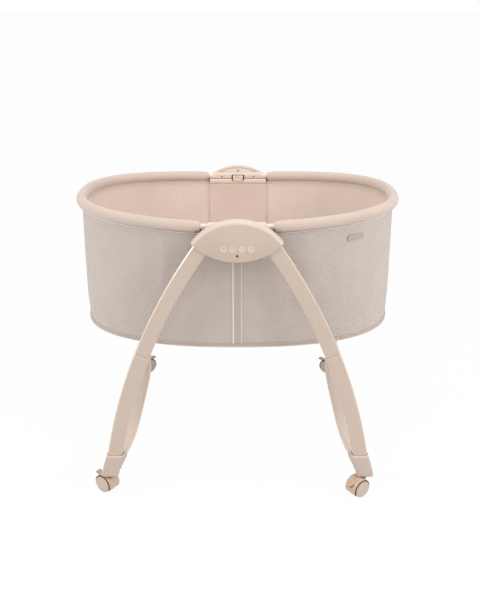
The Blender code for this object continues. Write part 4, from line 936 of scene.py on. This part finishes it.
def make_caster(corner):
    side_name, hand_name = corner.split("_")
    turn = Matrix.Rotation(math.radians(caster_turns[corner]), 4, "Z")
    place = Matrix.Translation(Vector((hands[hand_name] * stem_x, sides[side_name] * stem_y, 0))) @ turn
    soften_node("caster_hood_" + corner, "hood_" + corner, "hood_shell", "caster_" + corner, 0.0007)
    soften_node("brake_pedal_" + corner, "pedal_" + corner, "hood_shell", "pedal_" + corner, 0.0009)
    axle = Vector((caster_trail, 0, axle_z))
    centre, along = place @ axle, (place.to_3x3() @ axis_y).normalized()
    inner, outer, radius = wheel_inner, wheel_outer, wheel_radius
    profile = [(inner - 0.004, axle_radius + 0.003), (inner, axle_radius + 0.004), (inner, radius - 0.0030),
               (inner + 0.0004, radius - 0.0008), (inner + 0.0014, radius - 0.0001), (inner + 0.0022, radius),
               (shadow_band_start, radius), (shadow_band_end, radius), (outer - 0.0011, radius),
               (outer - 0.0007, radius - 0.0002), (outer - 0.0003, radius - 0.0010), (outer - 0.0002, radius - 0.0022),
               (outer - 0.0006, radius - 0.0026), (outer - 0.0002, radius - 0.0031), (outer, radius - 0.0060),
               (outer + 0.0003, 0.012), (outer + 0.0004, 0.004), (outer + 0.0004, 0.0)]
    bm, tread_depth = bmesh.new(), 0.0009
    for hand in hands.values():
        lathe(bm, profile, centre, along * hand, 72)
    lathe(bm, [(-inner, axle_radius), (inner, axle_radius)], centre, along, 24)
    # a narrow band of the tread is painted dark, a painted shadow line between the wheel and its hood
    for face in bm.faces:
        away = face.calc_center_median() - centre
        if abs(away.cross(along).length - radius) < tread_depth:
            face.material_index = 2 if shadow_band_start < abs(away.dot(along)) < shadow_band_end else 1
    put("wheel_pair_" + corner, bm, "wheel_face", "wheels_" + corner, ["caster_wheels_" + corner], 45.0,
        ["wheel_tread", "tread_shadow_line"])
    # painted shadow: a thin dark arc over each side edge of the hood, standing in for the shade in the gap round the
    # wheel
    gap_shadow, steps, first_turn, whole_turn = bmesh.new(), 40, -28, 236
    corners = ((0.0266, 0.01905), (0.0282, 0.01905), (0.0282, 0.0194), (0.0266, 0.0194))
    for hand in hands.values():
        rows = []
        for k in range(steps + 1):
            angle = math.radians(first_turn + whole_turn * k / steps)
            out = Vector((math.cos(angle), 0, math.sin(angle)))
            rows.append([place @ (axle + out * reach + axis_y * hand * y) for reach, y in corners])
        loft(gap_shadow, rows)
    put("hood_gap_shadow_" + corner, gap_shadow, "rubber_and_painted_shadow", "caster_" + corner)


# ---------------------------------------------------------------- rim
def oval_point(half_length, half_width, angle):
    power = 2 / oval_power
    c, s = math.cos(angle), math.sin(angle)
    return (math.copysign(abs(c) ** power, c) * half_length, math.copysign(abs(s) ** power, s) * half_width)


def oval_ring(half_length, half_width, z, angles):
    return [Vector((*oval_point(half_length, half_width, angle), z)) for angle in angles]


def oval_y(half_length, half_width, x):
    return half_width * (1 - abs(x / half_length) ** oval_power) ** (1 / oval_power)


def rim_height(x):
    reach = max(abs(x) - pad_start_x, 0) / (rim_half_length - pad_start_x)
    return rim_z + rim_rise * reach ** rim_rise_power


def pad_line(hand):
    last, half_steps = math.acos((pad_start_x / rim_half_length) ** (oval_power / 2)), 600
    points = []
    for step in range(2 * half_steps + 1):
        x, y = oval_point(rim_half_length, rim_half_width, last * (step / half_steps - 1))
        points.append(Vector((hand * x, y, rim_height(x))))
    return points


def make_rim_tube(name, hand):
    # the bare tube, with straight ends that go into the brackets
    end_y = oval_y(rim_half_length, rim_half_width, rim_tube_straight_x)
    start, bend = ([Vector((hand * x, side * end_y, rim_z)) for side in (-1, 1)]
                   for x in (rim_tube_start_x, rim_tube_straight_x))
    points = [start[0], bend[0], *pad_line(hand), bend[1], start[1]]
    put_loft("rim_pipe_" + name, sweep_round(evenly(points, 0.012), rim_tube_radius, 24), "tube_paint", "basket",
             ["rim_tube_" + name], cloth_crease)


def sleeve_creases(length, hand):
    # short creases where the sleeve is bent tightest, and a few slack ones along the sides
    creases = []
    for end in (0.27, 0.73):
        for k in range(13):
            wobble = noise.noise(Vector((k * 3.1, end * 17, hand * 5.0)))
            creases.append(((end + (k - 6) * 0.0175 + wobble * 0.006) * length, 0.0026 + 0.0014 * abs(wobble),
                            0.00055 * bell(k - 6, 4.2) * (1 + wobble)))
    for k in range(9):
        wobble = noise.noise(Vector((k * 5.7, 2.0, hand * 9.0)))
        creases.append(((0.06 + 0.11 * k + 0.03 * wobble) * length, 0.006, 0.00028 * (1 + wobble)))
    return creases


def make_rim_pad(name, hand):
    line = evenly(pad_line(hand), 0.0028)
    total = lengths_along(line)
    creases = sleeve_creases(total[-1], hand)
    count, end_length, inner_top_turn = 36, 0.004, math.radians(150 if hand > 0 else 30)
    cuff_drop, seam_width, seams = 0.0016, 0.0012, ((cuff_length, 0.0018), (0.0056, 0.0012))

    def radius_at(s, turn):
        from_end = min(s, total[-1] - s)
        radius = pad_radius - 0.0002
        if from_end < cuff_length:
            radius -= cuff_drop
        for seam_place, seam_depth in seams:
            radius -= seam_depth * bell(from_end - seam_place, seam_width)
        if from_end < end_length:
            radius -= (radius - pad_end_radius) * (1 - from_end / end_length) ** 2
        inner_top = max(0.0, math.cos(turn - inner_top_turn))
        for place, width, depth in creases:
            away = (s - place) / width
            if abs(away) < 3:
                radius -= depth * math.exp(-away * away) * inner_top ** 1.5
        slow = noise.noise(Vector((s * 14, math.cos(turn) * 1.3, math.sin(turn) * 1.3 + hand * 4)))
        return radius + 0.00022 * slow

    def section_at(index):
        points = []
        for k in range(count):
            turn = 2 * math.pi * k / count
            radius = radius_at(total[index], turn)
            points.append((radius * math.cos(turn), radius * math.sin(turn)))
        return points

    bm = bmesh.new()
    inner = sweep_round(line, rim_tube_radius + clearance, count)
    inner = inner[::4] + ([inner[-1]] if (len(inner) - 1) % 4 else [])
    around = [2 * math.pi * pad_radius * k / count for k in range(count + 1)]
    outer_rows, inner_rows = (lay_rows(bm, rings, around, total, wrap=True, turned=True)
                              for rings in (sweep(line, section_at), inner))
    join_rings(bm, outer_rows[0], inner_rows[0])
    join_rings(bm, outer_rows[-1], inner_rows[-1])
    pad = put("rim_sleeve_" + name, bm, "pad_knit", "basket", ["rim_pad_" + name], cloth_crease)


def make_rim_welt(name, hand):
    # the sewn cord under a sleeve, where the net is caught
    cord_radius, cord_out, cord_drop = 0.0013, 0.0004, pad_radius + 0.0028
    line = []
    for point in evenly(pad_line(hand), 0.008):
        outward = Vector((point.x, point.y, 0)).normalized()
        line.append(point + outward * cord_out - axis_z * cord_drop)
    return put_loft("rim_welt_" + name, sweep_round(line, cord_radius, 10), "piping_cloth", "basket", (), cloth_crease)


# ---------------------------------------------------------------- basket cloth
def wall_offset(share):
    for (low, low_offset), (high, high_offset) in zip(wall_row_shares, wall_row_shares[1:]):
        if share <= high:
            step = (share - low) / (high - low)
            return wall_draw * (low_offset + (high_offset - low_offset) * step)
    return wall_draw * wall_row_shares[-1][1]


def oval_angles(count):
    # turns at equal steps along the wall, from the front's middle round by the right
    dense = 7200
    turns = [-math.pi / 2 + 2 * math.pi * k / dense for k in range(dense + 1)]
    total = lengths_along(oval_ring(wall_half_length, wall_half_width, 0, turns))
    angles, index = [], 0
    for step in range(count):
        want = total[-1] * step / count
        while total[index + 1] < want:
            index += 1
        share = (want - total[index]) / (total[index + 1] - total[index])
        angles.append(-math.pi / 2 + 2 * math.pi * (index + share) / dense)
    return angles, total[-1]


wall_columns = 320
wall_angles, wall_round = oval_angles(wall_columns)
wall_across = [wall_round * k / wall_columns for k in range(wall_columns + 1)]

# soft folds of the net: place along the wall from the front's middle, half width, depth, lean, lowest and highest share
wall_folds = (
    (-0.205, 0.010, 0.0022, 0.05, 0.40, 1.05), (-0.165, 0.016, -0.0016, 0.10, 0.15, 0.95),
    (-0.245, 0.022, -0.0018, 0.02, 0.2, 1.0), (-0.110, 0.020, 0.0013, -0.06, 0.0, 0.7),
    (-0.055, 0.012, -0.0012, -0.03, 0.1, 0.8), (0.060, 0.014, 0.0013, 0.06, 0.1, 0.85),
    (0.120, 0.024, -0.0015, 0.10, 0.2, 1.0), (0.190, 0.016, 0.0014, -0.05, 0.35, 1.05),
    (0.255, 0.030, -0.0016, -0.04, 0.1, 0.8), (0.340, 0.022, 0.0015, 0.06, 0.3, 1.0),
    (-0.330, 0.026, 0.0016, -0.05, 0.2, 0.9), (-0.405, 0.018, -0.0012, 0.05, 0.4, 1.0),
    (0.430, 0.020, -0.0014, -0.08, 0.4, 1.0), (0.505, 0.012, 0.0012, 0.04, 0.5, 1.05),
    (-0.490, 0.014, 0.0013, 0.05, 0.45, 1.05), (0.565, 0.010, -0.0011, 0.02, 0.5, 1.0),
    (-0.560, 0.012, -0.0011, -0.02, 0.5, 1.0))


def fold_depth(along, share):
    # the same folds on the front and, half way round, on the rear
    low_fade, high_fade, top_fade, lean_share, slow_depth, slow_fade = 0.22, 0.16, 0.05, 0.3, 0.0012, 0.1
    depth = 0.0
    for start in (0.0, wall_round / 2):
        for place, width, size, lean, low, high in wall_folds:
            centre = place + start + lean * lean_share * (share - 0.5)
            away = (along - centre + wall_round / 2) % wall_round - wall_round / 2
            if abs(away) <= 3 * width:
                window = smooth(clamp((share - low) / low_fade) * clamp((high - share) / high_fade))
                depth += size * bell(away, width) * window * clamp((1.0 - share) / top_fade)
    turn = 2 * math.pi * along / wall_round
    slow = noise.noise(Vector((math.cos(turn) * 3, math.sin(turn) * 3, share * 2.2)))
    return depth + slow_depth * slow * min(1.0, share / slow_fade) * min(1.0, (1 - share) / slow_fade)


def wall_size(share, inwards=0.0):
    # the ends lean in towards the rim; the long sides stand upright
    offset = wall_offset(share) + inwards
    return wall_half_length - offset - wall_end_lean * min(share, 1.0), wall_half_width - offset


def wall_ring(share, inwards):
    z = wall_bottom_z + share * (wall_top_z - wall_bottom_z)
    rise_start, rise_length = 0.55, 0.45
    ring = []
    for along, angle in zip(wall_across, wall_angles):
        x, y = oval_point(*wall_size(share, inwards), angle)
        outward = Vector((x / wall_half_length ** 2, y / wall_half_width ** 2, 0)).normalized()
        move = fold_depth(along, share)
        x, y = x + outward.x * move, y + outward.y * move
        rise = (rim_height(x) - rim_z) * max(0.0, (share - rise_start) / rise_length)
        ring.append(Vector((x, y, z + rise)))
    return ring


def make_net_wall():
    height, turned_up = wall_top_z - wall_bottom_z, 0.0035
    shares = [0.0, 0.004, 0.010, 0.018, 0.03] + [0.05 + 0.95 * k / 42 for k in range(43)]
    up = [share * height for share in (*shares, 1.0 + turned_up / height)]

    def rings_of(inwards, turned_in):
        rings = [wall_ring(share, inwards) for share in shares]
        rings.append([point - Vector((point.x, point.y, 0)).normalized() * turned_in + axis_z * turned_up
                      for point in rings[-1]])
        return rings

    def shade_distance(along, row):
        # distances to the centre panels' edges and to the sleeve, which set the net's painted shade
        half = wall_round / 2
        near = abs((along + half / 2) % half - half / 2)
        return (abs(near - panel_half_width), max(height - up[row], 0.0))

    bm = bmesh.new()
    outer = lay_rows(bm, rings_of(0.0, 0.0025), wall_across, up, wrap=True, shade_distance=shade_distance)
    inner = lay_rows(bm, rings_of(cloth_thickness, 0.0), wall_across, up, wrap=True, shade_distance=shade_distance,
                     finish_rows=lambda row, column: 1)
    join_rings(bm, outer[0], inner[0])
    join_rings(bm, outer[-1], inner[-1])
    return put("net_wall", bm, "net_outside", "basket", ["basket_wall"], 70.0, ["net_inside"])


def make_badge():
    # a plain moulded badge on the front of the net, low under the right sleeve
    half_length, half_width = wall_size(0.9)
    rows, columns = 6, 24
    edge_share, edge_lift, face_lift, back_lift = 0.9, 0.0022, 0.0028, 0.0012
    rings = []
    for row in range(rows + 1):
        v = row / rows - 0.5
        line, behind = [], []
        for column in range(columns + 1):
            u = column / columns - 0.5
            x = badge_x + badge_length * u
            base = oval_y(half_length, half_width, x)
            outward = Vector((x / half_length ** 2, -base / half_width ** 2, 0)).normalized()
            at_edge = max(abs(u) / 0.5, abs(v) / 0.5) > edge_share
            place = Vector((x, -base, badge_z + badge_height * v + rim_height(x) - rim_z))
            line.append(place + outward * (edge_lift if at_edge else face_lift))
            behind.append(place + outward * back_lift)
        rings.append(line + behind[::-1])
    put_loft("plain_badge", rings, "badge_plastic", "basket")


def make_base_cloth():
    # the fabric floor under the board, with its turned edge
    profile = ((0.0042, 0.0030), (0.0036, 0.0008), (0.0052, 0.0001), (0.012, 0.0003), (0.06, 0.0006), (0.15, 0.0006),
               (0.25, 0.0006))
    rings = [oval_ring(*wall_size(0.01, inwards), wall_bottom_z + rise, wall_angles[::2]) for inwards, rise in profile]
    return put_loft("base_cloth", rings, "base_cloth", "basket", (), cloth_crease)


def make_hem():
    # a turned band with a rolled cord along each edge
    half_length, half_width = wall_size(0.0287)
    height = hem_top_z - hem_bottom_z
    shares = ((0.0, 0.0004), (0.02, 0.0016), (0.07, 0.0024), (0.14, 0.0026), (0.20, 0.0021), (0.24, 0.0012),
              (0.28, 0.0011), (0.5, 0.0014), (0.72, 0.0011), (0.76, 0.0012), (0.80, 0.0021), (0.86, 0.0026),
              (0.93, 0.0024), (0.98, 0.0016), (1.0, 0.0004))
    section = [(out, hem_bottom_z + share * height) for share, out in shares]
    section += [(0.0003, hem_top_z - 0.0002), (0.0003, hem_bottom_z + 0.0002)]
    rows = [oval_ring(half_length + out, half_width + out, z, wall_angles) for out, z in section]
    bm = bmesh.new()
    grid = lay_rows(bm, rows, wall_across, [z - hem_bottom_z for out, z in section], wrap=True)
    join_rings(bm, grid[-1], grid[0])
    return put("hem_welts", bm, "hem_cloth", "basket", ["hem_band"], cloth_crease)


def put_strip(name, finish, node_name, half_width, columns, rows, place_at, turned=False):
    # an upright strip of cloth; place_at gives the front and back y at a row's share and a place across
    rings = []
    for row in range(rows + 1):
        front, back = [], []
        for column in range(columns):
            u = 2 * column / (columns - 1) - 1
            x = half_width * u
            front_y, back_y, z = place_at(row / rows, x, u)
            front.append(Vector((x, front_y, z)))
            back.append(Vector((x, back_y, z)))
        rings.append(front + back[::-1])
    flat, up = [point.x for point in rings[0][:columns]], [ring[0].z for ring in rings]
    bm = bmesh.new()
    lay_rows(bm, rings, flat + flat[::-1] + [flat[0]], up, wrap=True, turned=turned, caps=True)
    return put(name, bm, finish, "basket", [node_name], cloth_crease), rings


def put_upright_cord(name, line, radius, count, finish):
    rings = [place_ring(circle(radius, count), point, axis_x, axis_y) for point in line]
    return put_loft(name, rings, finish, "basket", (), cloth_crease)


def make_placket():
    # the closed strip down the front: a slightly full band with a cord along each edge
    columns, low_z = 13, hem_top_z + 0.0004
    gap, thickness, crown, slack, seam_depth, seam_width = 0.0004, 0.0016, 0.0010, 0.0003, 0.0007, 0.0008

    def place_at(row_share, x, u):
        z = low_z + (placket_top_z - low_z) * row_share
        share = (z - wall_bottom_z) / (wall_top_z - wall_bottom_z)
        surface = wall_half_width - wall_offset(share) + fold_depth(x % wall_round, share)
        puff = thickness + crown * (1 - u * u) + slack * noise.noise(Vector((u * 2, z * 38, 3.0)))
        seam = seam_depth * bell(abs(x) - placket_seam_x, seam_width)
        return -(surface + puff - seam), -(surface + gap), z

    strip, rings = put_strip("placket_strip", "placket_cloth", "placket", placket_half_width, columns, 60, place_at,
                             turned=True)
    cords = []
    for label, column, u, radius in (("left", 0, -1, 0.0017), ("right", columns - 1, 1, 0.0008)):
        line = [ring[column] + Vector((u * 0.0002, 0.0004, 0)) for ring in rings]
        cords.append(put_upright_cord("placket_cord_" + label, line, radius, 10, "piping_cloth"))
    return strip, cords


def make_centre_panel(name, side):
    # a smooth cloth over the inside of the long wall, drawn in to the strip under the bracket
    columns, top_z, thickness, gap = 41, strip_bottom_z - clearance, 0.0012, 0.0010
    welt_place, welt_width, top_welt, slack, side_welt = 0.955, 0.018, 0.0008, 0.0006, 0.0005

    def place_at(up, x, u):
        z = panel_bottom_z + up * (top_z - panel_bottom_z)
        surface = oval_y(*wall_size((z - wall_bottom_z) / (wall_top_z - wall_bottom_z), cloth_thickness), x)
        lift = gap + panel_top_reach * up ** 3 * (1 - abs(u) ** 5)
        lift += top_welt * bell(up - welt_place, welt_width) * (1 - u ** 6)
        lift += slack * noise.noise(Vector((x * 16, z * 9, side * 7.0))) * (1 - u ** 4)
        lift += side_welt * bell(abs(u) - welt_place, welt_width)
        return side * (surface - lift - thickness), side * (surface - lift), z

    panel, rings = put_strip("inner_panel_" + name, "panel_cloth", "centre_panel_" + name, panel_half_width, columns,
                             64, place_at)
    edges = []
    for label, column in (("left", 0), ("right", columns - 1)):
        line = [ring[column] + Vector((0, side * 0.0005, 0)) for ring in rings]
        edges.append(put_upright_cord(f"panel_cord_{name}_{label}", line, 0.0010, 8, "welt_cloth"))
    return panel, edges


def make_mattress():
    # a crowned pad with sewn diamond channels on top and a corded edge
    half_length, half_width = wall_size(0.05, cloth_thickness + 0.0035)
    height, top_rings = mattress_top_z - mattress_z, 26
    crown, channel_pitch, channel_depth, channel_power, edge_fade = 0.0018, 0.075, 0.0016, 18, 0.06
    cord_radius, cord_reach, cord_share = 0.0016, 0.990, 0.90
    angles = wall_angles[::2]
    profile = [(0.45, 0.0), (0.80, 0.0), (0.955, 0.0), (0.982, 0.02), (0.993, 0.08), (0.998, 0.20), (1.0, 0.38),
               (1.0, 0.58), (0.998, 0.74), (0.993, 0.86), (0.984, 0.93)]
    top_start = len(profile)
    profile += [(0.975 * (1 - k / top_rings), 0.955) for k in range(top_rings)]
    rings = []
    for index, (reach, share) in enumerate(profile):
        ring = []
        for angle in angles:
            x, y = (length * reach for length in oval_point(half_length, half_width, angle))
            z = mattress_z + share * height
            if index >= top_start:
                waves = [abs(math.cos(way * math.pi / channel_pitch)) for way in (x + y, x - y)]
                channel = channel_depth * max(waves) ** channel_power * min(1.0, (1 - reach) / edge_fade)
                z += crown * (1 - reach ** 4) - channel
            ring.append(Vector((x, y, z)))
        rings.append(ring)
    bm = bmesh.new()
    grid = lay_rows(bm, rings, [0.0] * (len(angles) + 1), [0.0] * len(rings), wrap=True)
    layer = uv_layer(bm, "cloth")
    for face in bm.faces:
        for loop in face.loops:
            loop[layer].uv = (loop.vert.co.x, loop.vert.co.y + loop.vert.co.z)
    close_ends(bm, grid)
    pad = put("mattress_pad", bm, "mattress_cloth", "basket", ["mattress"], cloth_crease)
    line = oval_ring(half_length * cord_reach, half_width * cord_reach, mattress_z + cord_share * height, angles)
    section = circle(cord_radius, 8)
    rows = [place_ring(section, point, Vector((point.x, point.y, 0)).normalized(), axis_z) for point in line]
    cord = bmesh.new()
    grid = lay_rows(cord, [*rows, rows[0]], [0.00125 * k for k in range(9)], lengths_round(line), wrap=True)
    bmesh.ops.remove_doubles(cord, verts=grid[0] + grid[-1], dist=1e-7)
    put("mattress_cord", cord, "welt_cloth", "basket", (), cloth_crease)


# ---------------------------------------------------------------- brackets
# straight pieces along X: name, finish, both ends and a section of (y, z)
bracket_blocks = (
    # a dark block over the net's edge, in the gap between a sleeve's end and the bracket: painted shadow for the shade
    # in that gap
    ("sleeve_end_shadow", "dark_plastic", (0.0928, 0.0962),
     ((0.2855, 0.7568), (0.2855, 0.7637), (0.2735, 0.7637), (0.2735, 0.7568), (0.2772, 0.7568), (0.2772, 0.7602),
      (0.2815, 0.7602), (0.2815, 0.7568))),
    # a thin dark line where the strip under the bracket begins: painted shadow
    ("strip_shadow_line", "shadow_line_dark", (0.0212, 0.0920),
     ((0.2724, 0.7660), (0.2733, 0.7660), (0.2733, 0.7680), (0.2724, 0.7680))))


def make_latch_well(name, side):
    # the dark floor of the pocket behind a release latch
    half_width, bottom_z, depths = 0.0202, 0.7574, (0.2809, 0.2817)
    corners = [(-half_width, bottom_z), (half_width, bottom_z), (half_width, latch_well_top_z),
               (-half_width, latch_well_top_z)]
    rings = [flat_ring(corners, side * y) for y in depths]
    put_loft("latch_well_" + name, rings, "dark_plastic", "basket", (), block_crease)


def make_brackets():
    for name, side in sides.items():
        soften_node("bracket_" + name, "bracket_shell_" + name, "bracket_shell", "basket", 0.0006)
        soften_node("bracket_cover_" + name, "bracket_strip_" + name, "bracket_shell", "basket", 0.0007)
        soften_node("release_latch_" + name, "latch_tab_" + name, "bracket_shell", "latch_" + name, 0.0004)
        make_latch_well(name, side)
        for hand_name, hand in hands.items():
            place = f"{name}_{hand_name}"
            for label, finish, ends, section in bracket_blocks:
                rings = [[Vector((hand * x, side * y, z)) for y, z in section] for x in ends]
                put_loft(f"{label}_{place}", rings, finish, "basket", (), block_crease)
            centre = Vector((hand * bracket_screw_x, side * (bracket_inner_y + 0.0004), rim_z))
            make_screw("bracket_screw_" + place, centre, Vector((0, -side, 0)), 0.0027, "basket")


def dress_inner_nodes():
    # the frame's own nodes that stay as they are, with a material each
    kept = {"steel": ["swing_bearing_front", "swing_bearing_rear", "swing_shaft_front", "swing_shaft_rear",
                      "motor_pinion", "swing_motor"],
            "gear_plastic": ["sector_gear"], "board_green": ["control_board"],
            "dark_plastic": ["ir_window", "speaker", "power_jack"], "board_wood": ["floor_board"]}
    for finish, names in kept.items():
        for node_name in names:
            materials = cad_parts[node_name].data.materials
            materials.clear()
            materials.append(finishes[finish][0])


# ---------------------------------------------------------------- room, light and camera
def seen_directly(tree):
    # 1 for the camera's own rays and for mirrored and see-through ones
    path = add_node(tree, "ShaderNodeLightPath").outputs
    seen = calc(tree, "MAXIMUM", path["Is Camera Ray"], path["Is Glossy Ray"])
    return calc(tree, "MAXIMUM", seen, path["Is Transmission Ray"])


def finish_mix(tree, share, first, second, output_kind):
    mixed = add_node(tree, "ShaderNodeMixShader", {0: share})
    tree.links.new(first.outputs[0], mixed.inputs[1])
    tree.links.new(second.outputs[0], mixed.inputs[2])
    tree.links.new(mixed.outputs[0], add_node(tree, output_kind).inputs["Surface"])


def make_room():
    # a wide floor that stays white to the camera and takes the light softly
    bm, reach, floor_glow = bmesh.new(), 60.0, 0.95
    lay_rows(bm, [[Vector((x, y, 0)) for x in (-reach, reach)] for y in (-reach, reach)], (0.0, 1.0), (0.0, 1.0))
    mesh = bpy.data.meshes.new("studio_floor")
    bm.to_mesh(mesh)
    bm.free()
    floor = link_object("studio_floor", mesh)
    material = bpy.data.materials.new("pale studio floor")
    material.use_nodes = True
    tree = material.node_tree
    tree.nodes.clear()
    matt = add_node(tree, "ShaderNodeBsdfDiffuse", {"Color": (0.90, 0.895, 0.89, 1.0)})
    glow = add_node(tree, "ShaderNodeEmission", {"Color": (1.0, 1.0, 1.0, 1.0), "Strength": 1.0})
    finish_mix(tree, calc(tree, "MULTIPLY", seen_directly(tree), floor_glow), matt, glow, "ShaderNodeOutputMaterial")
    mesh.materials.append(material)


def make_light():
    world = bpy.data.worlds.new("studio")
    bpy.context.scene.world = world
    world.use_nodes = True
    tree = world.node_tree
    tree.nodes.clear()
    soft = add_node(tree, "ShaderNodeBackground", {"Color": (1.0, 0.985, 0.97, 1.0), "Strength": 0.70})
    white = add_node(tree, "ShaderNodeBackground", {"Color": (1.0, 1.0, 1.0, 1.0), "Strength": 1.0})
    finish_mix(tree, seen_directly(tree), soft, white, "ShaderNodeOutputWorld")
    # name, place, target, size and power
    lamps = (("left_softbox", (-2.2, -1.2, 1.9), (0, 0, 0.5), 1.0, 21.0),
             ("right_softbox", (2.2, -1.2, 1.9), (0, 0, 0.5), 1.0, 26.0),
             ("top_softbox", (0.0, -0.4, 2.6), (0, 0.1, 0.4), 1.8, 14.0))
    for name, place, target, size, power in lamps:
        data = bpy.data.lights.new(name, "AREA")
        data.shape, data.size, data.energy = "DISK", size, power
        data.color = (1.0, 0.98, 0.965)
        lamp = link_object(name, data)
        lamp.location = place
        lamp.rotation_euler = (Vector(target) - Vector(place)).to_track_quat("-Z", "Y").to_euler()


def make_camera():
    data = bpy.data.cameras.new("photo_camera")
    data.sensor_fit, data.sensor_width, data.lens = "HORIZONTAL", 36.0, 54.375
    data.clip_end = 200.0
    pitch_down = 22.87
    camera = link_object("photo_camera", data)
    camera.location = (0.007, -2.081, 1.325)
    camera.rotation_euler = (math.radians(90 - pitch_down), 0, 0)
    bpy.context.scene.camera = camera
    bpy.context.scene.view_settings.view_transform = "Standard"


def make_stand():
    for side_name, side in sides.items():
        make_hub(side_name, side)
        make_hub_inside(side_name, side)
        for hand_name, hand in hands.items():
            make_leg(f"{side_name}_{hand_name}", hand, side)
            make_foot(f"{side_name}_{hand_name}", hand, side)
    for hand_name, hand in hands.items():
        make_side_bar(hand_name, hand)
    make_key_icons()
    for corner in caster_turns:
        make_caster(corner)


def make_basket():
    for hand_name, hand in hands.items():
        make_rim_tube(hand_name, hand)
        make_rim_pad(hand_name, hand)
    welts = [make_rim_welt(hand_name, hand) for hand_name, hand in hands.items()]
    make_badge()
    wall, base, hem = make_net_wall(), make_base_cloth(), make_hem()
    strip, cords = make_placket()
    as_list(cords)
    for name, side in sides.items():
        panel, edges = make_centre_panel(name, side)
        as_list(edges)
    make_mattress()
    make_brackets()


make_finishes()
make_camera()
make_room()
make_light()
make_stand()
make_basket()
dress_inner_nodes()
